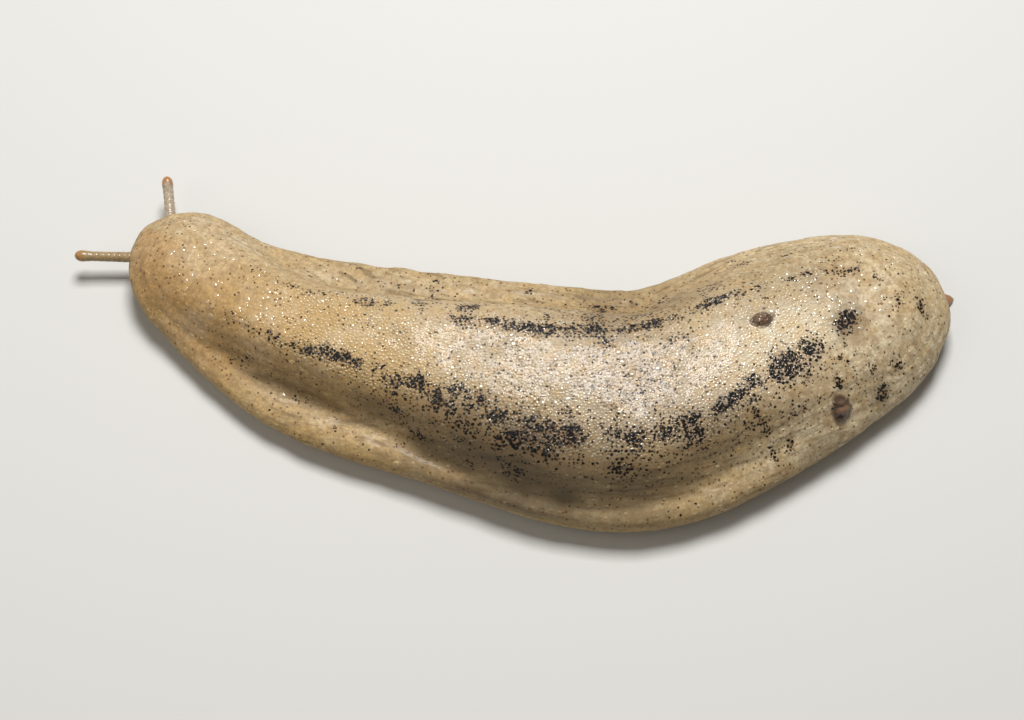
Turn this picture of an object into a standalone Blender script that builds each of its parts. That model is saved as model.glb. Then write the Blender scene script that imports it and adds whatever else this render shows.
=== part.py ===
"""A leatherleaf slug, Phyllocaulis tuberculosus, creeping over a flat floor in a shallow bend.

The broad back plate (notum) overhangs the narrow foot on every side, and its raised front rim
is a hood over the head. The head carries two long upper tentacles with an eye at each tip, and
two short lower ones. The notum and the foot are each parted into a few lengths by thin cuts.

Frame: metres, +Z up, the floor at z = 0 and the origin under the middle of the animal. The head
is towards -X and the tail towards +X, so the animal's left side is towards -Y. Stations along the
body are millimetres of the middle line, measured from the front rim of the notum.
"""

import math

import bmesh
import bpy
import numpy as np

MM = 0.001
GAP = 0.3

# The middle line on the floor, from the front rim to the rear rim of the notum.
MIDLINE = [
    (-39.8, 13.6),
    (-31.9, 6.9),
    (-20.9, 0.6),
    (-8.4, -2.8),
    (3.6, -5.5),
    (12.6, -6.6),
    (22.1, -3.2),
    (32.1, 1.9),
    (45.5, 6.6),
]

# Half the notum's width and the height of its ridge, each as (station, value).
HALF_WIDTHS = [(0, 6.4), (10, 7.4), (20, 9.7), (30, 11.1), (40, 12.0), (50, 13.1)]
HALF_WIDTHS += [(58, 13.2), (66, 12.6), (74, 12.1), (82, 10.6), (93, 8.4)]
HEIGHTS = [(0, 7.0), (9, 8.0), (20, 9.4), (32, 10.4), (45, 11.0)]
HEIGHTS += [(60, 11.1), (72, 10.5), (82, 9.2), (93, 7.6)]
FRONT_ROUND = 8.0
REAR_ROUND = 11.0
REAR_FULLNESS = 2.2

# The rim that runs right round the notum, below a shallow groove: its width as (station, value)
# on the left (-1) and the right (1).
BRIM_FRONT = [(0, 2.2), (8, 2.5), (14, 3.4), (20, 4.3), (27, 4.6)]
BRIM_WIDTHS = {
    -1: BRIM_FRONT + [(34, 3.6), (40, 2.0), (46, 1.3), (51, 1.4), (55, 2.1), (60, 3.0), (93, 2.8)],
    1: BRIM_FRONT + [(34, 4.4), (42, 3.8), (60, 3.6), (93, 2.8)],
}
BRIM_BOTTOM = 0.9
UNDERSIDE_MIDDLE = 1.5
HOOD_LIFT = 3.1
HOOD_LENGTH = 14.0
TAIL_LIFT = 0.7
TAIL_LENGTH = 13.0

# Depth of the groove above the rim, as (station, share) on the left (-1) and the right (1).
GROOVE_DEPTHS = {
    -1: [(0, 0.0), (12, 0.3), (20, 0.6), (28, 0.7), (40, 0.4), (48, 0.1), (60, 0.3), (72, 0.1), (93, 0.0)],
    1: [(0, 0.0), (20, 0.3), (45, 0.3), (62, 0.3), (76, 0.1), (93, 0.0)],
}

# How far the section is a plain dome, without the groove, as (station, share).
DOME_SHARES = [(0, 1.0), (7, 0.95), (12, 0.6), (18, 0.2), (25, 0.0)]
DOME_SHARES += [(58, 0.0), (66, 0.4), (75, 0.8), (93, 0.95)]

NOTUM_CUTS = [24.0, 47.0, 69.0]
STATION_STEP = 2.0
FAN_STEPS = 8
PROFILE_STEPS_TOP = 13
PROFILE_STEPS_UNDER = 8
SAME_REACH = 1e-6

# The foot: a flat creeping sole with rounded sides, ending in a pointed tail.
FOOT_FRONT = 13.0
FOOT_HALF_WIDTHS = [(13, 3.3), (20, 4.0), (35, 4.6), (60, 4.7), (78, 4.2), (88, 2.9)]
FOOT_HALF_WIDTHS += [(93, 1.3), (94.8, 0.5)]
FOOT_HEIGHTS = [(13, 2.6), (60, 2.6), (80, 2.4), (88, 1.6), (94.8, 0.8)]
FOOT_CUTS = [38.0, 65.0]
TAIL_TIP = 94.8
# Its right half section from the sole to the crown, as shares of half width and height.
FOOT_SECTION = [(0.90, 0.0), (1.0, 0.16), (0.99, 0.42), (0.92, 0.72), (0.74, 0.92), (0.40, 0.99)]

# The head, under the hood: (station, half width, bottom, top) of each ring, front first.
HEAD_RINGS = [
    (2.9, 1.0, 1.2, 2.6),
    (3.1, 1.9, 0.8, 3.1),
    (3.7, 2.6, 0.5, 3.5),
    (4.8, 3.0, 0.3, 3.8),
    (7.0, 3.3, 0.3, 4.0),
    (10.0, 3.4, 0.3, 3.9),
    (FOOT_FRONT - GAP, 3.2, 0.3, 3.3),
]
MOUTH_WIDTH = 1.9
MOUTH_HEIGHT = 0.5
MOUTH_DEPTH = 1.2
MOUTH_Z = 1.5
LIP_RADII = (0.45, 1.19, 0.95)
HEAD_SIDES = 20
HEAD_SQUARENESS = 0.8

# Upper tentacles: they leave the head at one point in plan and spread to either side of ahead.
TENTACLE_ORIGIN = (-36.8, 10.75, 2.8)
COLLAR_START = 0.6
COLLAR_LENGTH = 2.4
COLLAR_RADIUS = 0.72
UPPER_TENTACLES = {
    "left": {"heading": 179.5, "lift": 0.3, "length": 8.0, "radius": 0.47, "bulb": 0.55},
    "right": {"heading": 96.5, "lift": 1.4, "length": 6.7, "radius": 0.50, "bulb": 0.55},
}
# The tip of the shaft, as (distance back from the tip, share of the bulb's radius).
TIP_PROFILE = [(1.15, 0.96), (0.85, 1.04), (0.55, 1.0), (0.28, 0.84), (0.09, 0.52), (0.0, 0.2)]
SHAFT_END = 1.4
ROOT_FLARE = 0.16
ROOT_FLARE_LENGTH = 1.8
RING_SPACING = 0.55
RING_DEPTH = 0.05
EYE_RADIUS = 0.25
EYE_RISE = -0.08
EYE_INSET = 0.16
EYE_CLEARANCE = 0.08

# Lower tentacles: short, two-lobed feelers beside the mouth.
LOWER_SPREAD = 34.0
LOWER_SIDE_OFFSET = 1.75
LOWER_STATION = 3.3
LOWER_Z = 1.2
LOWER_DIP = 8.0
LOWER_LENGTH = 1.6
LOWER_RADII = (0.52, 0.45, 0.43, 0.43, 0.45, 0.40)
LOWER_COLLAR_RADIUS = 0.56
LOWER_COLLAR_DEPTH = 1.2
LOBE_RADII = (0.46, 0.34, 0.38)
LOBE_OFFSET = 0.24
LOBE_SPLAY = 22.0

# Two brown warts on the back, placed by station and share of the half width (left is negative).
WART_NODE = "notum_rear"
WARTS = [
    {"station": 75.2, "across": -0.79, "length": 2.2, "width": 2.5, "height": 0.9},
    {"station": 71.5, "across": 0.12, "length": 2.1, "width": 1.3, "height": 0.7},
]

COLOURS = {
    "notum": ((0.52, 0.37, 0.20), 0.42),
    "foot": ((0.50, 0.36, 0.22), 0.35),
    "head": ((0.42, 0.28, 0.17), 0.38),
    "tentacle": ((0.40, 0.24, 0.14), 0.35),
    "eye": ((0.02, 0.015, 0.012), 0.12),
}


def cubic_through(knots, values, at):
    """Smooth curve through the values at the knots, with free ends, read at the given places."""
    knots, values, at = (np.asarray(item, float) for item in (knots, values, at))
    steps = np.diff(knots)
    matrix = np.eye(len(knots))
    right = np.zeros_like(values)
    for i in range(1, len(knots) - 1):
        matrix[i, i - 1 : i + 2] = steps[i - 1], 2 * (steps[i - 1] + steps[i]), steps[i]
        rise = (values[i + 1] - values[i]) / steps[i] - (values[i] - values[i - 1]) / steps[i - 1]
        right[i] = 6 * rise
    bends = np.linalg.solve(matrix, right)
    i = np.clip(np.searchsorted(knots, at) - 1, 0, len(knots) - 2)
    span = steps[i]
    before, after = (knots[i + 1] - at) / span, (at - knots[i]) / span
    if values.ndim > 1:
        span, before, after = span[..., None], before[..., None], after[..., None]
    sag = (before**3 - before) * bends[i] + (after**3 - after) * bends[i + 1]
    return before * values[i] + after * values[i + 1] + sag * span**2 / 6


def chord_lengths(points):
    """Distance along straight lines between the points, from the first."""
    steps = np.linalg.norm(np.diff(np.asarray(points, float), axis=0), axis=1)
    return np.concatenate([[0.0], np.cumsum(steps)])


def read_table(table, station):
    """Value of a (station, value) table at a station, on a smooth curve."""
    knots, values = zip(*table)
    return float(cubic_through(knots, values, np.clip(station, knots[0], knots[-1])))


MIDLINE_FINE = cubic_through(
    chord_lengths(MIDLINE), MIDLINE, np.linspace(0, chord_lengths(MIDLINE)[-1], 1500)
)
MIDLINE_STATIONS = chord_lengths(MIDLINE_FINE)
NOTUM_LENGTH = MIDLINE_STATIONS[-1]


def middle(station):
    """Point of the middle line in plan, and its direction towards the tail."""
    inside = float(np.clip(station, 0, NOTUM_LENGTH))
    ends = np.clip([inside - 0.4, inside + 0.4], 0, NOTUM_LENGTH)
    point, low, high = (
        np.array([np.interp(s, MIDLINE_STATIONS, MIDLINE_FINE[:, k]) for k in (0, 1)])
        for s in (inside, ends[0], ends[1])
    )
    along = (high - low) / np.linalg.norm(high - low)
    return point + along * (station - inside), along


def to_the_right(along):
    """Direction in plan of the animal's right side, where the body runs along this direction."""
    return np.array([-along[1], along[0]])


def half_width(station):
    """Half the notum's width, rounded off at both ends."""
    front = max(0.0, 1 - station / FRONT_ROUND)
    rear = max(0.0, 1 - (NOTUM_LENGTH - station) / REAR_ROUND)
    roundness = math.sqrt(1 - min(1.0, front) ** 2)
    roundness *= (1 - min(1.0, rear) ** REAR_FULLNESS) ** (1 / REAR_FULLNESS)
    return read_table(HALF_WIDTHS, station) * roundness


def ease(share):
    """Smooth step from 0 to 1."""
    share = min(1.0, max(0.0, share))
    return share * share * (3 - 2 * share)


def corners_cut(points, rounds=4):
    """Smooth open curve that follows a polygon and keeps its two ends."""
    points = np.asarray(points, float)
    for _ in range(rounds):
        near = 0.75 * points[:-1] + 0.25 * points[1:]
        far = 0.25 * points[:-1] + 0.75 * points[1:]
        between = np.stack([near, far], axis=1).reshape(-1, points.shape[1])
        points = np.vstack([points[:1], between[1:-1], points[-1:]])
    return points


def read_evenly(points, count):
    """The given number of points, evenly spaced along a polyline."""
    knots = chord_lengths(points)
    at = np.linspace(0, knots[-1], count)
    return np.column_stack([np.interp(at, knots, column) for column in points.T])


def notum_outline(station, reach, side):
    """Control polygon of the half section: a dome with a grooved rim, or a plain dome at the ends."""
    ridge = read_table(HEIGHTS, np.clip(station, FRONT_ROUND, NOTUM_LENGTH - REAR_ROUND))
    groove = read_table(GROOVE_DEPTHS[side], station)
    hood = ease(1 - station / HOOD_LENGTH)
    tail = ease(1 - (NOTUM_LENGTH - station) / TAIL_LENGTH)
    lift = HOOD_LIFT * hood + TAIL_LIFT * tail
    brim = min(read_table(BRIM_WIDTHS[side], station), 0.46 * reach)
    rim = reach - brim
    body = [
        (0.0, ridge),
        (0.29 * rim, ridge),
        (0.565 * rim, 0.965 * ridge),
        (0.81 * rim, 0.82 * ridge),
        (0.905 * rim + 0.09 * brim, 0.56 * ridge),
        (rim + 0.15 * brim, (0.44 - 0.09 * groove) * ridge),
        (rim + 0.62 * brim, (0.39 + 0.05 * groove) * ridge),
        (reach, 0.34 * ridge),
    ]
    dome = [
        (0.0, ridge),
        (0.20 * reach, ridge),
        (0.40 * reach, 0.975 * ridge),
        (0.57 * reach, 0.89 * ridge),
        (0.71 * reach, 0.77 * ridge + 0.1 * lift),
        (0.84 * reach, 0.61 * ridge + 0.2 * lift),
        (0.94 * reach, 0.46 * ridge + 0.4 * lift),
        (reach, 0.34 * ridge + 0.5 * lift),
    ]
    plain = np.clip(read_table(DOME_SHARES, station), 0, 1)
    top = plain * np.array(dome) + (1 - plain) * np.array(body)
    under = [
        (reach, BRIM_BOTTOM + 0.6 + 0.85 * lift),
        (rim + 0.55 * brim, BRIM_BOTTOM - 0.15 + lift),
        (0.6 * rim, BRIM_BOTTOM + 0.2 + lift),
        (0.0, UNDERSIDE_MIDDLE + 0.8 * lift),
    ]
    return np.vstack([top, under])


def notum_profile(station, reach, side):
    """Half section as points (outward, up), from the ridge over the rim to the underside's middle."""
    smooth = corners_cut(notum_outline(station, reach, side))
    outermost = np.flatnonzero(smooth[:, 0] > smooth[:, 0].max() - SAME_REACH)
    edge = outermost[len(outermost) // 2]
    smooth[:, 0] *= reach / smooth[edge, 0]
    over = read_evenly(smooth[: edge + 1], PROFILE_STEPS_TOP)
    below = read_evenly(smooth[edge:], PROFILE_STEPS_UNDER)
    return np.vstack([over, below[1:]])


def notum_column(station, side):
    """Points of one half section in the world, in millimetres; side is 1 right, -1 left."""
    point, along = middle(station)
    edge = point + side * half_width(station) * to_the_right(along)
    ridge, _ = middle(np.clip(station, FRONT_ROUND, NOTUM_LENGTH - REAR_ROUND))
    reach = float(np.linalg.norm(edge - ridge))
    profile = notum_profile(station, reach, side)
    plan = ridge + profile[:, :1] * (edge - ridge) / reach
    return np.column_stack([plan, profile[:, 1]])


def add_object(name, mesh_data, collection):
    """Object that holds a finished bmesh, in a collection."""
    mesh = bpy.data.meshes.new(name)
    mesh_data.to_mesh(mesh)
    mesh_data.free()
    added = bpy.data.objects.new(name, mesh)
    collection.objects.link(added)
    return added


def notum_length(name, start, end, collection):
    """One closed length of the notum between two stations; None stands for its own rounded end."""
    low = FRONT_ROUND if start is None else start
    high = NOTUM_LENGTH - REAR_ROUND if end is None else end
    count = max(2, round((high - low) / STATION_STEP)) + 1
    turns = [math.sin(math.radians(90) * k / FAN_STEPS) for k in range(1, FAN_STEPS + 1)]
    nose = [FRONT_ROUND * (1 - turn) for turn in turns] if start is None else []
    tail = [NOTUM_LENGTH - REAR_ROUND * (1 - turn) for turn in turns] if end is None else []
    stations = [*reversed(nose), *np.linspace(low, high, count), *tail]

    shape = bmesh.new()
    poles = {}

    def column(station, side):
        """Half section whose ridge and underside points are shared with the other side."""
        points = notum_column(station, side)
        key = min(max(station, low), high)
        if key not in poles:
            poles[key] = shape.verts.new(points[0] * MM), shape.verts.new(points[-1] * MM)
        ridge, below = poles[key]
        return [ridge] + [shape.verts.new(p * MM) for p in points[1:-1]] + [below]

    left = [column(s, -1) for s in stations]
    right = [left[k] if half_width(s) < 1e-6 else column(s, 1) for k, s in enumerate(stations)]
    for half in (left, right):
        for before, after in zip(half, half[1:]):
            for k in range(len(before) - 1):
                corners = [before[k], before[k + 1], after[k + 1], after[k]]
                shape.faces.new(list(dict.fromkeys(corners)))
    if start is not None:
        shape.faces.new(left[0] + right[0][-2:0:-1])
    if end is not None:
        shape.faces.new(right[-1] + left[-1][-2:0:-1])
    bmesh.ops.recalc_face_normals(shape, faces=shape.faces)
    bmesh.ops.triangulate(shape, faces=[f for f in shape.faces if len(f.verts) > 4])
    return add_object(name, shape, collection)


def loft(name, rings, collection):
    """Closed solid through rings of equal point counts, with a flat cap at each end."""
    shape = bmesh.new()
    loops = [[shape.verts.new(np.asarray(p) * MM) for p in ring] for ring in rings]
    for before, after in zip(loops, loops[1:]):
        for k in range(len(before)):
            following = (k + 1) % len(before)
            shape.faces.new([before[k], before[following], after[following], after[k]])
    shape.faces.new(loops[0])
    shape.faces.new(loops[-1])
    bmesh.ops.recalc_face_normals(shape, faces=shape.faces)
    bmesh.ops.triangulate(shape, faces=[f for f in shape.faces if len(f.verts) > 4])
    return add_object(name, shape, collection)


def ring_across(station, outline):
    """Ring in the upright plane across the body at a station, from points (to the right, up)."""
    point, along = middle(station)
    right = to_the_right(along)
    return [(*(point + right * u), z) for u, z in outline]


def foot_ring(station, clearance=0.0):
    """Section of the foot: flat sole, rounded sides and a low crown."""
    half = read_table(FOOT_HALF_WIDTHS, station) + clearance
    top = read_table(FOOT_HEIGHTS, station) + clearance
    right = [(half * u, top * z) for u, z in FOOT_SECTION]
    left = [(-u, z) for u, z in reversed(right)]
    return ring_across(station, right + [(0.0, top)] + left)


def foot_length(name, start, end, collection, clearance=0.0):
    """One length of the foot."""
    count = max(3, round((end - start) / STATION_STEP)) + 1
    return loft(name, [foot_ring(s, clearance) for s in np.linspace(start, end, count)], collection)


def head_ring(station, half, bottom, top, clearance=0.0):
    """Section of the head: a rounded block."""
    half, bottom, top = half + clearance, bottom - clearance, top + clearance
    centre, tall = (bottom + top) / 2, (top - bottom) / 2
    outline = []
    for k in range(HEAD_SIDES):
        turn = math.tau * k / HEAD_SIDES
        across = math.copysign(abs(math.cos(turn)) ** HEAD_SQUARENESS, math.cos(turn))
        up = math.copysign(abs(math.sin(turn)) ** HEAD_SQUARENESS, math.sin(turn))
        outline.append((half * across, centre + tall * up))
    return ring_across(station, outline)


def tube(name, points, radii, collection):
    """Round tube along the points, as a curve turned into a closed mesh."""
    curve = bpy.data.curves.new(name, "CURVE")
    curve.dimensions = "3D"
    curve.bevel_depth = MM
    curve.bevel_resolution = 4
    curve.use_fill_caps = True
    spline = curve.splines.new("POLY")
    spline.points.add(len(points) - 1)
    for knot, point, radius in zip(spline.points, points, radii):
        knot.co = (*(np.asarray(point) * MM), 1)
        knot.radius = radius
    guide = bpy.data.objects.new(name, curve)
    collection.objects.link(guide)
    graph = bpy.context.evaluated_depsgraph_get()
    shape = bmesh.new()
    shape.from_mesh(bpy.data.meshes.new_from_object(guide.evaluated_get(graph)))
    bpy.data.objects.remove(guide)
    bmesh.ops.remove_doubles(shape, verts=shape.verts, dist=1e-7)
    bmesh.ops.recalc_face_normals(shape, faces=shape.faces)
    return add_object(name, shape, collection)


def ellipsoid(name, centre, radii, heading, collection, segments=16):
    """Ellipsoid with its first radius along the heading, in degrees from +X."""
    shape = bmesh.new()
    bmesh.ops.create_uvsphere(shape, u_segments=segments, v_segments=segments // 2, radius=MM)
    bmesh.ops.scale(shape, vec=radii, verts=shape.verts)
    added = add_object(name, shape, collection)
    added.location = np.asarray(centre) * MM
    added.rotation_euler = (0, 0, math.radians(heading))
    return added


def combine(target, others, operation):
    """Joins the other objects to the target, or cuts them from it, and applies the result."""
    for other in others:
        modifier = target.modifiers.new(other.name, "BOOLEAN")
        modifier.object = other
        modifier.operation = operation
    bpy.context.view_layer.update()
    graph = bpy.context.evaluated_depsgraph_get()
    result = bpy.data.meshes.new_from_object(target.evaluated_get(graph))
    target.modifiers.clear()
    target.data = result


def direction(heading, rise):
    """Unit direction from a heading and a rise in degrees."""
    heading, rise = math.radians(heading), math.radians(rise)
    return np.array(
        [math.cos(rise) * math.cos(heading), math.cos(rise) * math.sin(heading), math.sin(rise)]
    )


def upper_tentacle(side, sizes, parts, cutters):
    """One upper tentacle with its ringed shaft and tip bulb, and the eye set in the tip."""
    ahead = direction(sizes["heading"], 0.0)
    root = np.array(TENTACLE_ORIGIN) + ahead * (COLLAR_LENGTH + GAP)
    length, shaft, bulb = sizes["length"] - GAP, sizes["radius"], sizes["bulb"]
    distances, radii = [], []
    for k in range(int((length - SHAFT_END) / RING_SPACING)):
        distances += [k * RING_SPACING, (k + 0.5) * RING_SPACING]
        flare = ROOT_FLARE * math.exp(-k * RING_SPACING / ROOT_FLARE_LENGTH)
        radii += [shaft + flare, shaft + flare - RING_DEPTH]
    for back, share in TIP_PROFILE:
        distances.append(length - back)
        radii.append(bulb * share)
    points = [
        root + ahead * distance + np.array([0, 0, sizes["lift"] * (distance / length) ** 2])
        for distance in distances
    ]
    tentacle = tube(f"upper_tentacle_{side}", points, radii, parts)
    eye_centre = points[-1] - ahead * EYE_INSET + np.array([0, 0, EYE_RISE])
    clear = EYE_RADIUS + EYE_CLEARANCE
    socket = ellipsoid(f"eye_socket_{side}", eye_centre, (clear,) * 3, 0, cutters, segments=12)
    combine(tentacle, [socket], "DIFFERENCE")
    eye = ellipsoid(f"eye_{side}", eye_centre, (EYE_RADIUS,) * 3, 0, parts, segments=12)
    return tentacle, eye


def lower_tentacle(side, sign, parts, cutters):
    """One short lower tentacle that ends in two lobes."""
    point, along = middle(LOWER_STATION)
    plan = point + sign * LOWER_SIDE_OFFSET * to_the_right(along)
    heading = math.degrees(math.atan2(-along[1], -along[0])) - sign * LOWER_SPREAD
    ahead = direction(heading, -LOWER_DIP)
    root = np.array([*plan, LOWER_Z])
    distances = np.linspace(GAP, GAP + LOWER_LENGTH, len(LOWER_RADII))
    points = [root + ahead * distance for distance in distances]
    feeler = tube(f"lower_tentacle_{side}", points, LOWER_RADII, parts)
    across = np.cross(ahead, (0, 0, 1))
    lobes = [
        ellipsoid(
            f"lobe_{side}_{k}",
            points[-1] + across * LOBE_OFFSET * k,
            LOBE_RADII,
            heading - LOBE_SPLAY * k,
            cutters,
            segments=12,
        )
        for k in (-1, 1)
    ]
    combine(feeler, lobes, "UNION")
    return feeler, root, ahead


def skin_material(name):
    """Plain Principled material for one kind of skin."""
    colour, roughness = COLOURS[name]
    material = bpy.data.materials.new(name)
    material.use_nodes = True
    shader = material.node_tree.nodes["Principled BSDF"]
    shader.inputs["Base Color"].default_value = (*colour, 1)
    shader.inputs["Roughness"].default_value = roughness
    shader.inputs["Metallic"].default_value = 0.0
    return material


def new_collection(name):
    """Collection under the scene's own."""
    collection = bpy.data.collections.new(name)
    bpy.context.scene.collection.children.link(collection)
    return collection


def wart(number, sizes, cutters):
    """Low rounded lump that sits on the notum, its lower half sunk in the skin."""
    side = 1 if sizes["across"] > 0 else -1
    column = notum_column(sizes["station"], side)[:PROFILE_STEPS_TOP]
    _, along = middle(sizes["station"])
    ridge = column[0, :2]
    shares = np.linalg.norm(column[:, :2] - ridge, axis=1) / half_width(sizes["station"])
    centre = [np.interp(abs(sizes["across"]), shares, column[:, k]) for k in range(3)]
    heading = math.degrees(math.atan2(along[1], along[0]))
    radii = (sizes["length"] / 2, sizes["width"] / 2, sizes["height"])
    return ellipsoid(f"wart_{number}", centre, radii, heading, cutters)


def main():
    for existing in list(bpy.data.objects):
        bpy.data.objects.remove(existing)
    parts = new_collection("phyllocaulis_tuberculosus")
    cutters = new_collection("cutters")

    foot_space = foot_length("foot_space", FOOT_FRONT - 1.0, TAIL_TIP + 1.0, cutters, GAP)
    head_space = loft("head_space", [head_ring(*ring, GAP) for ring in HEAD_RINGS], cutters)

    edges = [None, *NOTUM_CUTS, None]
    names = ["notum_front", "notum_fore", "notum_hind", "notum_rear"]
    dressed = {}
    for name, start, end in zip(names, edges, edges[1:]):
        low = None if start is None else start + GAP / 2
        high = None if end is None else end - GAP / 2
        node = notum_length(name, low, high, parts)
        if name == WART_NODE:
            lumps = [wart(k, sizes, cutters) for k, sizes in enumerate(WARTS)]
            combine(node, lumps, "UNION")
        spaces = [foot_space, head_space] if start is None else [foot_space]
        combine(node, spaces, "DIFFERENCE")
        dressed[node] = "notum"

    edges = [FOOT_FRONT, *FOOT_CUTS, TAIL_TIP]
    for name, start, end in zip(("foot_front", "foot_middle", "foot_rear"), edges, edges[1:]):
        low = start if start == FOOT_FRONT else start + GAP / 2
        high = end if end == TAIL_TIP else end - GAP / 2
        dressed[foot_length(name, low, high, parts)] = "foot"

    head = loft("head", [head_ring(*ring) for ring in HEAD_RINGS], parts)
    collars = []
    for side, sizes in UPPER_TENTACLES.items():
        ahead = direction(sizes["heading"], 0.0)
        ends = [np.array(TENTACLE_ORIGIN) + ahead * d for d in (COLLAR_START, COLLAR_LENGTH)]
        collars.append(tube(f"collar_{side}", ends, (COLLAR_RADIUS, COLLAR_RADIUS), cutters))
        tentacle, eye = upper_tentacle(side, sizes, parts, cutters)
        dressed[tentacle] = "tentacle"
        dressed[eye] = "eye"
    for side, sign in (("left", -1), ("right", 1)):
        feeler, root, ahead = lower_tentacle(side, sign, parts, cutters)
        ends = [root - ahead * LOWER_COLLAR_DEPTH, root]
        radii = (LOWER_COLLAR_RADIUS, LOWER_COLLAR_RADIUS)
        collars.append(tube(f"lower_collar_{side}", ends, radii, cutters))
        dressed[feeler] = "tentacle"

    point, along = middle(HEAD_RINGS[0][0])
    facing = math.degrees(math.atan2(-along[1], -along[0]))
    mouth = (*point, MOUTH_Z)
    lips = ellipsoid("lips", mouth, LIP_RADII, facing, cutters)
    combine(head, collars + [lips], "UNION")
    slit_radii = (MOUTH_DEPTH, MOUTH_WIDTH / 2, MOUTH_HEIGHT / 2)
    slit = ellipsoid("mouth_slit", mouth, slit_radii, facing, cutters)
    combine(head, [slit], "DIFFERENCE")
    dressed[head] = "head"

    for cutter in cutters.objects:
        cutter.hide_render = True
        cutter.display_type = "WIRE"
    materials = {kind: skin_material(kind) for kind in COLOURS}
    for node, kind in dressed.items():
        node.data.materials.clear()
        node.data.materials.append(materials[kind])
        node.data.shade_smooth()
        node.data.set_sharp_from_angle(angle=math.radians(40))


main()
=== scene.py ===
"""Looks of a life-size museum model of a leatherleaf slug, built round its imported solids.

One skin covers the back plate (mantle), one the foot, and one the head with its four tentacles.
Thousands of small granules stand on the back, and the black pigment follows two lines along it.

Frame: metres, +Z up, the floor at z = 0. The head is towards -X and the animal's left side is
towards -Y. Sizes in the classes are millimetres. A station is a distance along the middle line
from the front rim of the mantle, and "across" is a share of the half width, negative on the left.
"""

import itertools
import logging
import math
from collections.abc import Iterable
from dataclasses import dataclass, field
from enum import Enum

import bmesh
import bpy
import numpy as np
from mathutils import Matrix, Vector


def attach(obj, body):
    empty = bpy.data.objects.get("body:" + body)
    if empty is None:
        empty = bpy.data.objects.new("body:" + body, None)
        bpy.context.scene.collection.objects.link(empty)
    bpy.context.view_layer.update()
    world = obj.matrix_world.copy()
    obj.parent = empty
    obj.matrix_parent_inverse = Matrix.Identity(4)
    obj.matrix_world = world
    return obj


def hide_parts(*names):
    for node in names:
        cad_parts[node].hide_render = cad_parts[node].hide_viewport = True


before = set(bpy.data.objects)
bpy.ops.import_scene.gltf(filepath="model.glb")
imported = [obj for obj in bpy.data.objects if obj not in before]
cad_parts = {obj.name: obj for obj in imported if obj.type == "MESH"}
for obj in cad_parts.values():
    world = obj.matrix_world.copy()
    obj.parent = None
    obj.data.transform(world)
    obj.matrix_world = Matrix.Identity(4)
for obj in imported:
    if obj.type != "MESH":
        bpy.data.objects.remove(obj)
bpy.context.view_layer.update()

MM = 0.001
BODY = "root"
LOG = logging.getLogger("leatherleaf_slug")

GRID_FACTORS = np.array([73856093, 19349663, 83492791])
SEED_FACTOR = 40503
MIX_FACTOR = 1274126177
LOW_32_BITS = 0xFFFFFFFF

Table = tuple[tuple[float, float], ...]
Source = bpy.types.Node | bpy.types.NodeSocket


class Side(Enum):
    """The animal's two sides, as the sign of a distance to the right of the middle line."""

    LEFT = -1
    RIGHT = 1


def linear_of(code: str) -> tuple[float, float, float, float]:
    """Turns an sRGB colour into the linear colour that a shader takes.

    Args:
        code: Six hex digits, such as "D8C49A".

    Returns:
        Linear red, green and blue, with an alpha of 1.
    """
    shares = [int(code[k : k + 2], 16) / 255 for k in (0, 2, 4)]
    linear = [s / 12.92 if s <= 0.04045 else ((s + 0.055) / 1.055) ** 2.4 for s in shares]
    return (linear[0], linear[1], linear[2], 1.0)


def add_node(
    tree: bpy.types.NodeTree, kind: str, inputs: dict | None = None, **settings: object
) -> bpy.types.Node:
    """Adds a node to a tree, sets it up and fills or links its inputs.

    Args:
        tree: Tree that gets the node.
        kind: Blender's name for the type of node.
        inputs: For each input, by name or index, a value, or the output that it is linked to. A node
            stands for its first output.
        settings: Properties of the node itself, such as its operation.

    Returns:
        The new node.
    """
    node = tree.nodes.new(kind)
    for name, value in settings.items():
        setattr(node, name, value)
    for key, value in (inputs or {}).items():
        if isinstance(value, bpy.types.Node):
            value = value.outputs[0]
        if isinstance(value, bpy.types.NodeSocket):
            tree.links.new(value, node.inputs[key])
        else:
            node.inputs[key].default_value = value
    return node


def laid_over(
    tree: bpy.types.NodeTree, ground: str, layers: list[tuple[Source, str]]
) -> bpy.types.NodeSocket:
    """Lays colours over a ground colour, one after the other.

    Args:
        tree: Tree of the material.
        ground: The ground colour as hex.
        layers: For each colour, the share of the place that it covers, and its hex.

    Returns:
        The output with the resulting colour.
    """
    colour = linear_of(ground)
    for share, over in layers:
        inputs = {0: share, 6: colour, 7: linear_of(over)}
        colour = add_node(tree, "ShaderNodeMix", inputs, data_type="RGBA").outputs[2]
    return colour


def scale_of(cell: float) -> float:
    """Scale of a texture whose cells have a size in millimetres."""
    return 1 / (cell * MM)


def new_material(name: str) -> tuple[bpy.types.Material, bpy.types.NodeTree, bpy.types.Node]:
    """A new material, with its node tree and its shader.

    Args:
        name: Name of the material.

    Returns:
        The material, its tree and its Principled shader.
    """
    material = bpy.data.materials.new(name)
    material.use_nodes = True
    tree = material.node_tree
    return material, tree, tree.nodes["Principled BSDF"]


def ease(share: np.ndarray | float) -> np.ndarray:
    """Smooth step from 0 to 1, for each share."""
    share = np.clip(share, 0.0, 1.0)
    return share * share * (3 - 2 * share)


def rising(value: np.ndarray | float, start: float, over: float) -> np.ndarray:
    """Smooth step that is 0 up to a start and 1 from a stretch further on."""
    return ease((value - start) / over)


def falling(value: np.ndarray | float, end: float, over: float) -> np.ndarray:
    """Smooth step from 1 to 0, over the stretch before an end."""
    return ease((end - value) / over)


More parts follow.
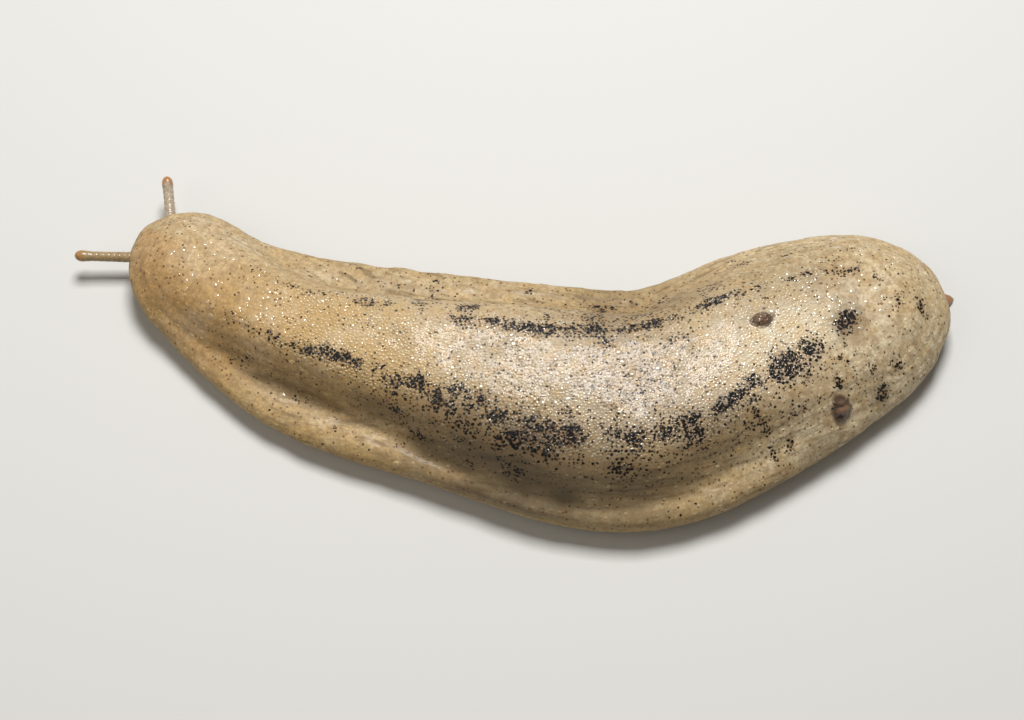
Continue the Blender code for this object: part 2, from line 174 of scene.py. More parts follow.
def soft_noise(points: np.ndarray, cell: float, seed: int) -> np.ndarray:
    """Smooth noise with one random value at each corner of a grid of cubes.

    Args:
        points: Places in millimetres, one row each.
        cell: Side of a cube in millimetres.
        seed: Number that picks the random values.

    Returns:
        One value from -1 to 1 for each place.
    """
    scaled = points / cell
    base = np.floor(scaled).astype(np.int64)
    part = ease(scaled - base)
    total = np.zeros(len(points))
    for corner in itertools.product((0, 1), repeat=3):
        node = base + corner
        mixed = np.bitwise_xor.reduce(node * GRID_FACTORS, axis=1) ^ seed * SEED_FACTOR
        mixed = (mixed ^ (mixed >> 13)) * MIX_FACTOR & LOW_32_BITS
        weight = np.prod(np.where(corner, part, 1 - part), axis=1)
        total += weight * ((mixed >> 8) / 2**23 - 1)
    return total


def chord_lengths(points: np.ndarray) -> np.ndarray:
    """Distance along straight lines between the points, from the first."""
    steps = np.linalg.norm(np.diff(np.asarray(points, float), axis=0), axis=1)
    return np.concatenate([[0.0], np.cumsum(steps)])


def cubic_through(knots: Iterable, values: Iterable, at: Iterable) -> np.ndarray:
    """Reads a smooth curve with free ends that passes through values at knots.

    Args:
        knots: Places of the values, in rising order.
        values: Numbers or points that the curve passes through.
        at: Places to read it at.

    Returns:
        The curve at those places.
    """
    knots, values, at = (np.asarray(item, float) for item in (knots, values, at))
    steps = np.diff(knots)
    matrix = np.eye(len(knots))
    right = np.zeros_like(values)
    for i in range(1, len(knots) - 1):
        matrix[i, i - 1 : i + 2] = steps[i - 1], 2 * (steps[i - 1] + steps[i]), steps[i]
        rise = (values[i + 1] - values[i]) / steps[i] - (values[i] - values[i - 1]) / steps[i - 1]
        right[i] = 6 * rise
    bends = np.linalg.solve(matrix, right)
    i = np.clip(np.searchsorted(knots, at) - 1, 0, len(knots) - 2)
    span = steps[i]
    before, after = (knots[i + 1] - at) / span, (at - knots[i]) / span
    if values.ndim > 1:
        span, before, after = span[..., None], before[..., None], after[..., None]
    sag = (before**3 - before) * bends[i] + (after**3 - after) * bends[i + 1]
    return before * values[i] + after * values[i + 1] + sag * span**2 / 6


def read_table(table: Table, station: np.ndarray | float) -> np.ndarray:
    """Value of a (station, value) table at each station, on a smooth curve."""
    knots, values = zip(*table)
    return cubic_through(knots, values, np.clip(station, knots[0], knots[-1]))


def corners_cut(points: np.ndarray, rounds: int = 4) -> np.ndarray:
    """Smooth open curve that follows a polygon and keeps its two ends.

    Args:
        points: Corners of the polygon.
        rounds: How many times the corners are cut.

    Returns:
        Points of the curve.
    """
    points = np.asarray(points, float)
    for _ in range(rounds):
        near = 0.75 * points[:-1] + 0.25 * points[1:]
        far = 0.25 * points[:-1] + 0.75 * points[1:]
        between = np.stack([near, far], axis=1).reshape(-1, points.shape[1])
        points = np.vstack([points[:1], between[1:-1], points[-1:]])
    return points


def read_evenly(points: np.ndarray, count: int) -> np.ndarray:
    """The given number of points, evenly spaced along a polyline.

    Args:
        points: Points of the polyline.
        count: How many points to read.

    Returns:
        The evenly spaced points.
    """
    knots = chord_lengths(points)
    at = np.linspace(0, knots[-1], count)
    return np.column_stack([np.interp(at, knots, column) for column in points.T])


def across_of(along: np.ndarray) -> np.ndarray:
    """Direction in plan of the animal's right side, where the body runs along a direction."""
    return np.array([-along[1], along[0]])


def heading_of(degrees: float) -> np.ndarray:
    """Level unit direction at an angle from +X."""
    turn = math.radians(degrees)
    return np.array([math.cos(turn), math.sin(turn), 0.0])


def way_of(degrees: float, rise: float) -> np.ndarray:
    """Unit direction at an angle from +X in plan and an angle above the floor."""
    turn = math.radians(rise)
    return heading_of(degrees) * math.cos(turn) + np.array([0, 0, math.sin(turn)])


def add_object(name: str, data: bpy.types.ID) -> bpy.types.Object:
    """Adds an object with its data to the scene.

    Args:
        name: Name of the object.
        data: Its mesh, light or camera.

    Returns:
        The object.
    """
    made = bpy.data.objects.new(name, data)
    bpy.context.scene.collection.objects.link(made)
    return made


def mesh_object(name: str, points: np.ndarray, faces: list, smooth: bool = True) -> bpy.types.Object:
    """Makes an object from points in millimetres, with its faces turned outwards.

    Args:
        name: Name of the object.
        points: One row for each vertex, in millimetres.
        faces: Vertex numbers of each face.
        smooth: Whether its faces are shaded smooth.

    Returns:
        The object, linked to the scene.
    """
    mesh = bpy.data.meshes.new(name)
    mesh.from_pydata((np.asarray(points) * MM).tolist(), [], faces)
    shape = bmesh.new()
    shape.from_mesh(mesh)
    bmesh.ops.recalc_face_normals(shape, faces=shape.faces)
    shape.to_mesh(mesh)
    shape.free()
    if smooth:
        mesh.shade_smooth()
    return add_object(name, mesh)


def tube_through(rings: list[np.ndarray]) -> tuple[np.ndarray, list]:
    """Points and faces of a closed tube through rings of equal point counts.

    Args:
        rings: Points of each ring, in order round it.

    Returns:
        All points, and the faces with both end caps.
    """
    number = np.arange(len(rings) * len(rings[0])).reshape(len(rings), -1)
    turned = np.roll(number, -1, axis=1)
    corners = [number[:-1], turned[:-1], turned[1:], number[1:]]
    faces = np.stack(corners, axis=-1).reshape(-1, 4).tolist()
    return np.vstack(rings), faces + [number[0].tolist(), number[-1].tolist()]


def vectors_of(mesh: bpy.types.Mesh, name: str) -> np.ndarray:
    """Places in metres, or unit normals, of a mesh's vertices, by the name "co" or "normal".

    Args:
        mesh: The mesh.
        name: Which of the two to read.

    Returns:
        One row for each vertex.
    """
    flat = np.empty(len(mesh.vertices) * 3, np.float32)
    mesh.vertices.foreach_get(name, flat)
    return flat.reshape(-1, 3).astype(float)


def points_of(mesh: bpy.types.Mesh) -> np.ndarray:
    """Places of a mesh's vertices in millimetres."""
    return vectors_of(mesh, "co") / MM


def move_points(mesh: bpy.types.Mesh, points: np.ndarray) -> None:
    """Puts a mesh's vertices at places given in millimetres."""
    mesh.vertices.foreach_set("co", (points * MM).astype(np.float32).ravel())
    mesh.update()


def write_attribute(mesh: bpy.types.Mesh, name: str, values: np.ndarray) -> None:
    """Stores a number, or a vector, for each vertex of a mesh under a name.

    Args:
        mesh: The mesh.
        name: Name of the attribute.
        values: A number or a vector for each vertex.
    """
    kind, slot = ("FLOAT", "value") if values.ndim == 1 else ("FLOAT_VECTOR", "vector")
    layer = mesh.attributes.new(name, kind, "POINT")
    layer.data.foreach_set(slot, values.astype(np.float32).ravel())


def drop_attributes(mesh: bpy.types.Mesh, *names: str) -> None:
    """Removes the attributes that only helped to build a piece."""
    for name in names:
        mesh.attributes.remove(mesh.attributes[name])


def apply_modifiers(made: bpy.types.Object) -> None:
    """Gives an object the plain mesh that its modifiers make of it, and removes them.

    Args:
        made: The object.
    """
    bpy.context.view_layer.update()
    graph = bpy.context.evaluated_depsgraph_get()
    result = bpy.data.meshes.new_from_object(made.evaluated_get(graph))
    made.modifiers.clear()
    made.data = result


def dress(made: bpy.types.Object, material: bpy.types.Material, slot: str, *nodes: str) -> None:
    """Finishes a piece: its material, its body and the solids that it stands for.

    Args:
        made: The piece.
        material: Its only material.
        slot: Not used.
        nodes: Solids that the piece replaces.
    """
    made.data.materials.clear()
    made.data.materials.append(material)
    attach(made, BODY)
    if nodes:
        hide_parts(*nodes)
    made.data.calc_loop_triangles()
    LOG.info("%s: %d triangles", made.name, len(made.data.loop_triangles))


@dataclass(frozen=True)
class BodyPlan:
    """Middle line, widths and heights of the mantle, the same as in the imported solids."""

    midline: Table = (
        (-39.8, 13.6), (-31.9, 6.9), (-20.9, 0.6), (-8.4, -2.8), (3.6, -5.5),
        (12.6, -6.6), (22.1, -3.2), (32.1, 1.9), (45.5, 6.6),
    )
    half_widths: Table = (
        (0, 6.4), (10, 7.4), (20, 9.7), (30, 11.1), (40, 12.0), (50, 13.1),
        (58, 13.2), (66, 12.6), (74, 12.1), (82, 10.6), (93, 8.4),
    )
    heights: Table = (
        (0, 7.0), (9, 8.0), (20, 9.4), (32, 10.4), (45, 11.0), (60, 11.1), (72, 10.5), (82, 9.2), (93, 7.6),
    )
    left_groove: Table = (
        (0, 0.0), (12, 0.3), (20, 0.6), (28, 0.7), (40, 0.4), (48, 0.1), (60, 0.3), (72, 0.1),
        (93, 0.0),
    )
    right_groove: Table = ((0, 0.0), (20, 0.3), (45, 0.3), (62, 0.3), (76, 0.1), (93, 0.0))
    dome_shares: Table = (
        (0, 1.0), (7, 0.95), (12, 0.6), (18, 0.2), (25, 0.0), (58, 0.0), (66, 0.4), (75, 0.8), (93, 0.95),
    )
    left_brim: Table = (
        (0, 2.2), (8, 2.5), (14, 3.4), (20, 4.3), (27, 4.6), (34, 3.6), (40, 2.0), (46, 1.3),
        (51, 1.4), (55, 2.1), (60, 3.0), (93, 2.8),
    )
    right_brim: Table = (
        (0, 2.2), (8, 2.5), (14, 3.4), (20, 4.3), (27, 4.6), (34, 4.4), (42, 3.8), (60, 3.6), (93, 2.8),
    )
    front_round: float = 8.0
    rear_round: float = 11.0
    rear_fullness: float = 2.2
    brim_bottom: float = 0.9
    underside_middle: float = 1.5
    hood_lift: float = 3.1
    hood_length: float = 14.0
    tail_lift: float = 0.7
    tail_length: float = 13.0
    widest_brim: float = 0.46
    line_points: int = 1500
    line_probe: float = 0.4
    back_points: int = 60
    line: np.ndarray = field(init=False, repr=False)
    stations: np.ndarray = field(init=False, repr=False)

    def __post_init__(self) -> None:
        """Draws the middle line as a fine polyline with a station for each point."""
        chords = chord_lengths(self.midline)
        line = cubic_through(chords, self.midline, np.linspace(0, chords[-1], self.line_points))
        object.__setattr__(self, "line", line)
        object.__setattr__(self, "stations", chord_lengths(line))

    @property
    def length(self) -> float:
        """Length of the mantle along its middle line."""
        return float(self.stations[-1])

    @property
    def ridge_ends(self) -> tuple[float, float]:
        """Stations of the ridge's two ends, which the rounded ends of the mantle turn about."""
        return self.front_round, self.length - self.rear_round

    def middle(self, station: float) -> tuple[np.ndarray, np.ndarray]:
        """Point of the middle line in plan, and its direction towards the tail.

        Args:
            station: Distance along the line, which goes on straight past both ends.

        Returns:
            The point and the unit direction.
        """
        inside = float(np.clip(station, 0, self.length))
        ends = np.clip([inside - self.line_probe, inside + self.line_probe], 0, self.length)
        point, low, high = (
            np.array([np.interp(s, self.stations, self.line[:, k]) for k in (0, 1)])
            for s in (inside, ends[0], ends[1])
        )
        along = (high - low) / np.linalg.norm(high - low)
        return point + along * (station - inside), along

    def half_width(self, station: float) -> float:
        """Half the mantle's width, rounded off at both ends.

        Args:
            station: Distance along the middle line.

        Returns:
            The half width in millimetres.
        """
        front = min(1.0, max(0.0, 1 - station / self.front_round))
        rear = min(1.0, max(0.0, 1 - (self.length - station) / self.rear_round))
        roundness = math.sqrt(1 - front**2)
        roundness *= (1 - rear**self.rear_fullness) ** (1 / self.rear_fullness)
        return float(read_table(self.half_widths, station)) * roundness

    def aside(self, station: np.ndarray, across: np.ndarray) -> np.ndarray:
        """Distance of points from the middle line, with the ends' rounding left out."""
        return across * np.interp(station, *zip(*self.half_widths))

    def outline(self, station: float, reach: float, side: Side) -> np.ndarray:
        """Control polygon of the half section, outward and up, from ridge to underside.

        Args:
            station: Where the section meets the rim.
            reach: Distance from the ridge to the rim in plan.
            side: Side of the animal.

        Returns:
            Corners of the polygon, each outward and up.
        """
        ridge = float(read_table(self.heights, np.clip(station, *self.ridge_ends)))
        grooves = self.left_groove if side is Side.LEFT else self.right_groove
        groove = float(read_table(grooves, station))
        hood = float(ease(1 - station / self.hood_length))
        tail = float(ease(1 - (self.length - station) / self.tail_length))
        lift = self.hood_lift * hood + self.tail_lift * tail
        brims = self.left_brim if side is Side.LEFT else self.right_brim
        brim = min(float(read_table(brims, station)), self.widest_brim * reach)
        rim = reach - brim
        body = [
            (0.0, ridge),
            (0.29 * rim, ridge),
            (0.565 * rim, 0.965 * ridge),
            (0.81 * rim, 0.82 * ridge),
            (0.905 * rim + 0.09 * brim, 0.56 * ridge),
            (rim + 0.15 * brim, (0.44 - 0.09 * groove) * ridge),
            (rim + 0.62 * brim, (0.39 + 0.05 * groove) * ridge),
            (reach, 0.34 * ridge),
        ]
        dome = [
            (0.0, ridge),
            (0.20 * reach, ridge),
            (0.40 * reach, 0.975 * ridge),
            (0.57 * reach, 0.89 * ridge),
            (0.71 * reach, 0.77 * ridge + 0.1 * lift),
            (0.84 * reach, 0.61 * ridge + 0.2 * lift),
            (0.94 * reach, 0.46 * ridge + 0.4 * lift),
            (reach, 0.34 * ridge + 0.5 * lift),
        ]
        plain = float(np.clip(read_table(self.dome_shares, station), 0, 1))
        under = [
            (reach, self.brim_bottom + 0.6 + 0.85 * lift),
            (rim + 0.55 * brim, self.brim_bottom - 0.15 + lift),
            (0.6 * rim, self.brim_bottom + 0.2 + lift),
            (0.0, self.underside_middle + 0.8 * lift),
        ]
        return np.vstack([plain * np.array(dome) + (1 - plain) * np.array(body), under])

    def column(self, station: float, side: Side, over: int, under: int) -> np.ndarray:
        """Points of one half section in the world, from the ridge over the rim to the underside.

        Args:
            station: Where the section meets the rim.
            side: Side of the animal.
            over: Number of points from the ridge to the rim.
            under: Number of points from the rim to the underside's middle, which share the rim's.

        Returns:
            over + under - 1 points in millimetres.
        """
        point, along = self.middle(station)
        edge = point + side.value * self.half_width(station) * across_of(along)
        ridge, _ = self.middle(float(np.clip(station, *self.ridge_ends)))
        reach = float(np.linalg.norm(edge - ridge))
        smooth = corners_cut(self.outline(station, reach, side))
        outermost = np.flatnonzero(smooth[:, 0] > smooth[:, 0].max() - 1e-6)
        rim = outermost[len(outermost) // 2]
        smooth[:, 0] *= reach / smooth[rim, 0]
        profile = np.vstack([read_evenly(smooth[: rim + 1], over), read_evenly(smooth[rim:], under)[1:]])
        plan = ridge + profile[:, :1] * (edge - ridge) / reach
        return np.column_stack([plan, profile[:, 1]])

    def on_back(self, station: float, across: float) -> np.ndarray:
        """Point on the back at a station and a share of the half width.

        Args:
            station: Distance along the middle line.
            across: Signed share of the half width.

        Returns:
            The point in millimetres.
        """
        side = Side.LEFT if across < 0 else Side.RIGHT
        column = self.column(station, side, self.back_points, 2)[: self.back_points]
        shares = np.linalg.norm(column[:, :2] - column[0, :2], axis=1)
        shares /= shares[-1]
        return np.array([np.interp(abs(across), shares, column[:, k]) for k in range(3)])


PLAN = BodyPlan()


@dataclass(frozen=True)
class Spot:
    """An oval place on the back, by its middle, its length along the body and its width."""

    station: float
    across: float
    long: float
    wide: float

    def spread(self, points: np.ndarray) -> tuple[np.ndarray, np.ndarray]:
        """Squared distance from the middle, which is 1 at the edge, and distance aside in millimetres.

        Args:
            points: Places in millimetres.

        Returns:
            Both distances for each point.
        """
        offset = points - PLAN.on_back(self.station, self.across)
        _, along = PLAN.middle(self.station)
        forward = offset[:, :2] @ along
        aside = np.linalg.norm(offset - np.column_stack([np.outer(forward, along), 0 * forward]), axis=1)
        return (forward / (0.5 * self.long)) ** 2 + (aside / (0.5 * self.wide)) ** 2, aside


@dataclass(frozen=True)
class Mark(Spot):
    """One clump of dark pigment, or one wash of another colour, on the back."""

    strength: float

    def share(self, points: np.ndarray) -> np.ndarray:
        """Strength of the mark at each point, which fades from its middle to its edge."""
        return self.strength * np.exp(-0.5 * self.spread(points)[0] ** 1.5)


# Dark clumps: (station, across, length, width, strength). They were picked out by eye in the photo,
# and small programs that turn a place in it into a station helped to place them.
LEFT_LINE = (
    (13.2, -0.41, 1.2, 0.6, 0.30), (15.5, -0.38, 1.8, 0.9, 0.45), (17.8, -0.36, 1.8, 0.8, 0.50),
    (20.3, -0.33, 1.8, 1.0, 0.70), (22.2, -0.33, 1.4, 0.8, 0.50), (24.0, -0.31, 2.0, 1.2, 0.80),
    (25.8, -0.30, 1.8, 1.5, 0.90), (27.6, -0.29, 1.8, 1.3, 0.90), (29.0, -0.31, 1.2, 1.0, 0.85),
    (31.3, -0.31, 1.5, 0.9, 0.65), (33.2, -0.37, 2.2, 1.3, 0.80), (35.5, -0.36, 2.1, 1.4, 0.95),
    (33.5, -0.47, 2.4, 1.5, 0.50), (37.6, -0.40, 1.8, 1.3, 0.80), (39.6, -0.36, 1.5, 1.3, 0.80),
    (41.8, -0.38, 2.4, 1.4, 0.90), (40.5, -0.46, 3.4, 1.8, 0.45), (44.5, -0.46, 2.6, 1.3, 0.50),
    (48.0, -0.49, 2.8, 2.0, 1.00), (50.2, -0.50, 2.4, 1.9, 1.00), (54.9, -0.45, 1.6, 1.6, 0.85),
    (56.6, -0.46, 2.0, 1.4, 0.95), (58.6, -0.45, 2.0, 1.4, 0.95), (60.7, -0.42, 2.2, 1.9, 1.00),
    (60.6, -0.53, 2.6, 1.8, 0.75), (63.6, -0.39, 2.0, 1.2, 0.95), (65.3, -0.37, 1.6, 1.2, 0.90),
    (67.2, -0.33, 2.2, 1.5, 1.00), (66.0, -0.43, 2.2, 1.6, 0.50), (70.4, -0.34, 1.9, 1.6, 1.00),
    (72.3, -0.31, 2.4, 1.8, 1.00), (71.9, -0.32, 4.1, 3.0, 0.70), (75.0, -0.28, 1.7, 2.3, 1.00),
    (72.9, -0.48, 0.9, 0.9, 0.50), (78.9, -0.21, 1.4, 1.1, 0.75), (80.1, -0.17, 1.9, 1.6, 1.00),
    (79.1, -0.26, 1.3, 1.3, 0.70), (44.2, -0.51, 1.6, 1.0, 0.85), (46.4, -0.46, 1.4, 0.9, 0.75),
    (51.8, -0.51, 2.0, 1.4, 0.90), (51.8, -0.44, 1.4, 1.0, 0.70), (46.0, -0.62, 2.2, 1.4, 0.60),
    (37.9, -0.50, 2.2, 1.2, 0.60), (50.5, -0.33, 1.6, 0.9, 0.50), (41.3, -0.21, 1.6, 1.0, 0.25),
)
RIGHT_LINE = (
    (14.3, 0.33, 1.8, 1.0, 0.22), (17.5, 0.28, 2.4, 1.0, 0.28), (19.8, 0.29, 1.5, 0.5, 0.55),
    (22.4, 0.30, 1.8, 0.8, 0.60), (24.4, 0.33, 1.6, 1.0, 0.45), (24.7, 0.41, 1.0, 0.8, 0.40),
    (28.0, 0.31, 2.3, 1.0, 0.85), (27.6, 0.38, 2.4, 1.0, 0.35), (30.4, 0.34, 1.2, 0.8, 0.40),
    (33.0, 0.47, 1.2, 1.3, 0.80), (33.6, 0.40, 1.4, 1.0, 0.35), (37.9, 0.40, 1.2, 0.9, 0.60),
    (39.1, 0.46, 1.2, 1.3, 0.85), (38.6, 0.28, 2.8, 1.4, 0.80), (41.4, 0.31, 2.2, 1.1, 0.90),
    (43.4, 0.30, 2.4, 1.1, 0.95), (45.6, 0.31, 2.6, 1.2, 1.00), (47.6, 0.33, 2.2, 1.3, 1.00),
    (46.7, 0.45, 1.2, 1.0, 0.65), (49.8, 0.36, 2.8, 1.4, 1.00), (51.8, 0.39, 2.2, 1.3, 0.95),
    (53.0, 0.30, 2.0, 1.3, 0.60), (52.5, 0.49, 2.2, 1.8, 0.30), (55.5, 0.41, 1.6, 0.9, 0.80),
    (57.5, 0.44, 2.4, 0.9, 1.00), (59.6, 0.44, 2.2, 0.9, 1.00), (61.1, 0.47, 1.3, 1.5, 1.00),
    (58.0, 0.55, 3.0, 1.6, 0.40), (63.5, 0.45, 1.2, 0.9, 0.75), (66.2, 0.46, 1.4, 0.7, 0.40),
    (68.6, 0.46, 2.6, 1.3, 0.95), (71.0, 0.43, 1.8, 0.8, 0.50), (73.6, 0.40, 1.5, 1.0, 0.35),
    (73.2, 0.25, 1.2, 0.9, 0.45), (76.5, 0.37, 1.6, 0.7, 0.40), (78.4, 0.38, 2.7, 0.7, 0.80),
    (62.0, 0.26, 1.6, 0.8, 0.45), (84.4, 0.29, 1.5, 1.1, 0.90), (81.4, 0.35, 2.5, 1.5, 0.40),
    (33.1, 0.59, 1.6, 0.8, 0.60), (38.2, 0.44, 1.4, 1.0, 0.55), (46.2, 0.57, 3.0, 0.5, 0.55),
    (51.9, 0.56, 2.4, 1.4, 0.45),
)
FLANK_PATCHES = (
    (18.0, -0.58, 2.2, 1.0, 0.35), (17.0, -0.66, 2.0, 0.9, 0.30), (24.0, -0.66, 2.6, 0.8, 0.22),
    (33.5, -0.58, 2.0, 1.0, 0.80), (36.2, -0.70, 2.0, 1.1, 0.65), (41.0, -0.63, 3.0, 2.0, 0.36),
    (45.5, -0.65, 2.8, 2.2, 0.42), (42.3, -0.81, 1.3, 1.5, 0.50), (46.6, -0.80, 2.2, 1.9, 0.55),
    (49.6, -0.64, 3.4, 1.8, 0.52), (55.6, -0.66, 1.5, 1.6, 0.75), (61.0, -0.60, 2.0, 1.5, 0.25),
    (66.0, -0.57, 1.8, 2.8, 0.40), (66.8, -0.67, 1.3, 1.4, 0.55), (66.8, -0.82, 0.8, 1.5, 0.85),
    (68.8, -0.81, 0.8, 1.3, 0.85), (62.0, -0.84, 0.8, 1.0, 0.30), (70.5, -0.65, 1.5, 1.2, 0.35),
    (75.9, -0.62, 0.9, 1.3, 0.90), (80.7, -0.69, 0.9, 1.4, 0.65), (84.2, -0.75, 1.1, 1.6, 0.60),
    (81.0, -0.86, 1.2, 1.9, 1.00), (77.0, -0.47, 0.6, 0.6, 0.55), (77.7, -0.52, 0.6, 0.6, 0.55),
    (92.2, -0.40, 0.9, 1.2, 0.60), (92.2, -0.63, 1.1, 1.5, 0.65), (91.6, -0.72, 0.6, 0.7, 0.55),
    (85.3, 0.61, 0.6, 0.6, 0.60), (78.2, 0.69, 0.9, 0.4, 0.90), (28.0, -0.79, 1.0, 1.4, 0.25),
    (34.5, -0.78, 1.1, 1.0, 0.25),
    (34.0, 0.65, 1.2, 3.0, 0.35), (46.5, 0.62, 1.3, 2.2, 0.45), (52.6, 0.74, 3.2, 2.2, 0.50),
    (52.0, 0.80, 3.2, 0.9, 0.55), (64.0, 0.74, 2.0, 1.6, 0.50), (69.0, 0.66, 1.4, 2.2, 0.40),
    (74.5, 0.78, 1.8, 0.9, 0.50), (74.0, 0.88, 0.8, 0.8, 0.50),
    (34.0, 0.87, 1.2, 0.6, 0.55), (43.6, 0.86, 0.9, 0.6, 0.65), (29.5, 0.77, 4.0, 0.5, 0.30),
    (56.0, 0.87, 2.4, 0.6, 0.45), (91.5, 0.30, 0.8, 0.8, 0.40),
)
# Wide, thin scatters of specks between the clumps.
SCATTERS = (
    (34.0, -0.50, 10.0, 5.0, 0.16), (42.0, -0.53, 12.0, 5.0, 0.16), (50.0, -0.58, 12.0, 6.0, 0.14),
    (58.0, -0.54, 11.0, 5.0, 0.22), (65.0, -0.52, 9.0, 6.0, 0.18), (73.0, -0.45, 9.0, 6.0, 0.10),
    (57.0, -0.08, 6.0, 6.0, 0.20), (61.0, 0.18, 10.0, 5.0, 0.14), (46.0, -0.10, 16.0, 8.0, 0.06),
    (28.0, -0.10, 12.0, 8.0, 0.04), (33.0, 0.52, 10.0, 4.0, 0.12), (56.0, 0.58, 10.0, 4.0, 0.16),
    (70.0, 0.55, 10.0, 4.0, 0.10), (80.0, -0.50, 12.0, 8.0, 0.07), (84.0, 0.35, 10.0, 8.0, 0.05),
    (50.0, 0.05, 40.0, 14.0, 0.06), (50.0, -0.65, 46.0, 7.0, 0.06), (48.0, 0.66, 34.0, 7.0, 0.06),
)
# Dull olive-brown mottling, together with painted shade where the flanks and the rim face away from the
# lamps: (station, across, length, width, strength).
KHAKI_AND_PAINTED_SHADE = (
    (46.0, -0.70, 22.0, 7.5, 0.80), (33.0, -0.60, 12.0, 3.0, 0.55), (24.0, -0.60, 12.0, 2.2, 0.50),
    (17.0, -0.62, 6.0, 1.8, 0.15), (46.0, -0.95, 16.0, 3.5, 0.70), (57.0, -0.74, 10.0, 4.0, 0.55),
    (48.0, -0.62, 9.0, 4.5, 0.85), (72.0, -0.93, 4.0, 1.6, 0.40), (64.0, 0.66, 14.0, 7.0, 0.35),
    (54.0, 0.56, 10.0, 7.0, 0.34), (40.0, -0.78, 11.0, 4.5, 0.80), (80.0, -0.22, 3.5, 3.5, 0.55),
    (54.0, -0.20, 18.0, 6.0, 0.16), (54.0, 0.86, 8.0, 4.0, 0.35), (72.0, 0.55, 10.0, 5.0, 0.15),
    (50.0, -0.84, 15.0, 4.5, 0.85), (56.0, -0.90, 8.0, 3.0, 0.50), (46.0, 0.66, 20.0, 8.0, 0.04),
    (60.5, -0.56, 8.0, 4.5, 0.40), (80.8, -0.86, 2.4, 3.0, 0.35),
    (76.0, 0.55, 16.0, 8.0, 0.26), (30.0, 0.60, 14.0, 6.0, 0.10), (41.0, -0.66, 9.0, 3.0, 0.45),
    (55.0, -0.46, 9.0, 4.0, 0.35), (62.0, -0.50, 9.0, 3.0, 0.40),
)
# Pale, greyish washes along the stripe, partly greyish skin and partly painted sheen where the wet stripe
# catches the light: (station, across, length, width, strength).
ASH_AND_PAINTED_SHEEN = (
    (46.0, 0.10, 20.0, 8.0, 0.45), (58.0, -0.04, 18.0, 10.0, 0.55), (70.0, -0.10, 14.0, 8.0, 0.70),
    (79.0, 0.0, 10.0, 7.0, 0.45), (64.0, -0.20, 12.0, 5.0, 0.45),
)
# Paler places, partly cream skin and partly painted light on the flanks, the rim and the hood's right side:
# (station, across, length, width, strength).
CREAM_AND_PAINTED_LIGHT = (
    (75.0, -0.14, 15.0, 6.0, 0.75), (71.0, -0.84, 14.0, 4.5, 0.80), (83.0, -0.74, 18.0, 9.0, 0.75),
    (34.0, 0.76, 12.0, 4.0, 0.35), (7.0, 0.50, 14.0, 8.0, 0.36), (20.0, 0.75, 12.0, 3.0, 0.25),
    (74.0, -0.40, 14.0, 4.0, 0.40), (88.0, -0.10, 8.0, 7.0, 0.30), (48.0, -0.96, 18.0, 1.6, 0.30),
    (32.0, -0.66, 12.0, 3.0, 0.30), (22.0, -0.72, 8.0, 3.0, 0.25), (42.0, 0.62, 20.0, 4.5, 0.40),
)
LEFT_LINE_PLACE: Table = (
    (0, -0.42), (13, -0.40), (25, -0.30), (34, -0.37), (42, -0.40), (49, -0.49),
    (58, -0.45), (66, -0.37), (73, -0.31), (80, -0.18), (93, -0.20),
)
RIGHT_LINE_PLACE: Table = (
    (0, 0.34), (14, 0.32), (22, 0.30), (33, 0.40), (43, 0.29), (51, 0.37), (60, 0.44),
    (68, 0.45), (76, 0.38), (84, 0.30), (93, 0.30),
)


@dataclass(frozen=True)
class Wart(Spot):
    """One brown, furrowed wart on the back.

    Attributes:
        height: Height of its crown.
        grooves: Turn of its furrows' wave across it, in radians for each millimetre.
        soot_and_shade_top: Share of the height under which it is sooty, with painted shade in its low
            furrows.
        soot_and_shade_fade: Share of the height over which that darkening fades.
    """

    height: float
    grooves: float
    soot_and_shade_top: float = 0.78
    soot_and_shade_fade: float = 0.5

    def lift(self, points: np.ndarray) -> tuple[np.ndarray, np.ndarray]:
        """How far the wart raises each point of the skin, and how brown it makes it.

        Args:
            points: Places in millimetres.

        Returns:
            The rise in millimetres and a share from 0 to 1, for each point.
        """
        squared, aside = self.spread(points)
        away = np.sqrt(squared) * (1 + 0.28 * soft_noise(points, 0.8, 31))
        crown = ease(1.25 - away)
        furrow = np.cos(self.grooves * aside + 3.4 * soft_noise(points, 0.8, 32))
        crumple = 0.68 + 0.28 * furrow + 0.34 * soft_noise(points, 0.45, 33)
        raised = self.height * crown * crumple
        moat = -0.10 * np.exp(-(((away - 1.3) / 0.18) ** 2))
        return raised + moat, falling(away, 1.35, 0.45)

    def soot_and_shade(self, raised: np.ndarray) -> np.ndarray:
        """How dark the wart's low parts are, with sooty brown and painted shade, from how far it raises each
        point.
        """
        return falling(raised, self.soot_and_shade_top * self.height, self.soot_and_shade_fade * self.height)


WARTS = (
    Wart(station=75.2, across=-0.79, long=2.2, wide=2.6, height=0.72, grooves=5.2),
    Wart(station=71.5, across=0.12, long=2.1, wide=1.4, height=0.5, grooves=4.6),
)


@dataclass(frozen=True)
class DotLayer:
    """One size of round pigment dots, which grow and run together as the pigment gets denser.

    Attributes:
        zone: Attribute that holds the density.
        cell: Spacing of the dots in millimetres.
        share: Most of the cells that can hold a dot, at full density.
        radius: Radius of a lone dot as a share of the spacing.
        growth: How much of the spacing the radius gains at full density.
    """

    zone: str
    cell: float
    share: float
    radius: float
    growth: float


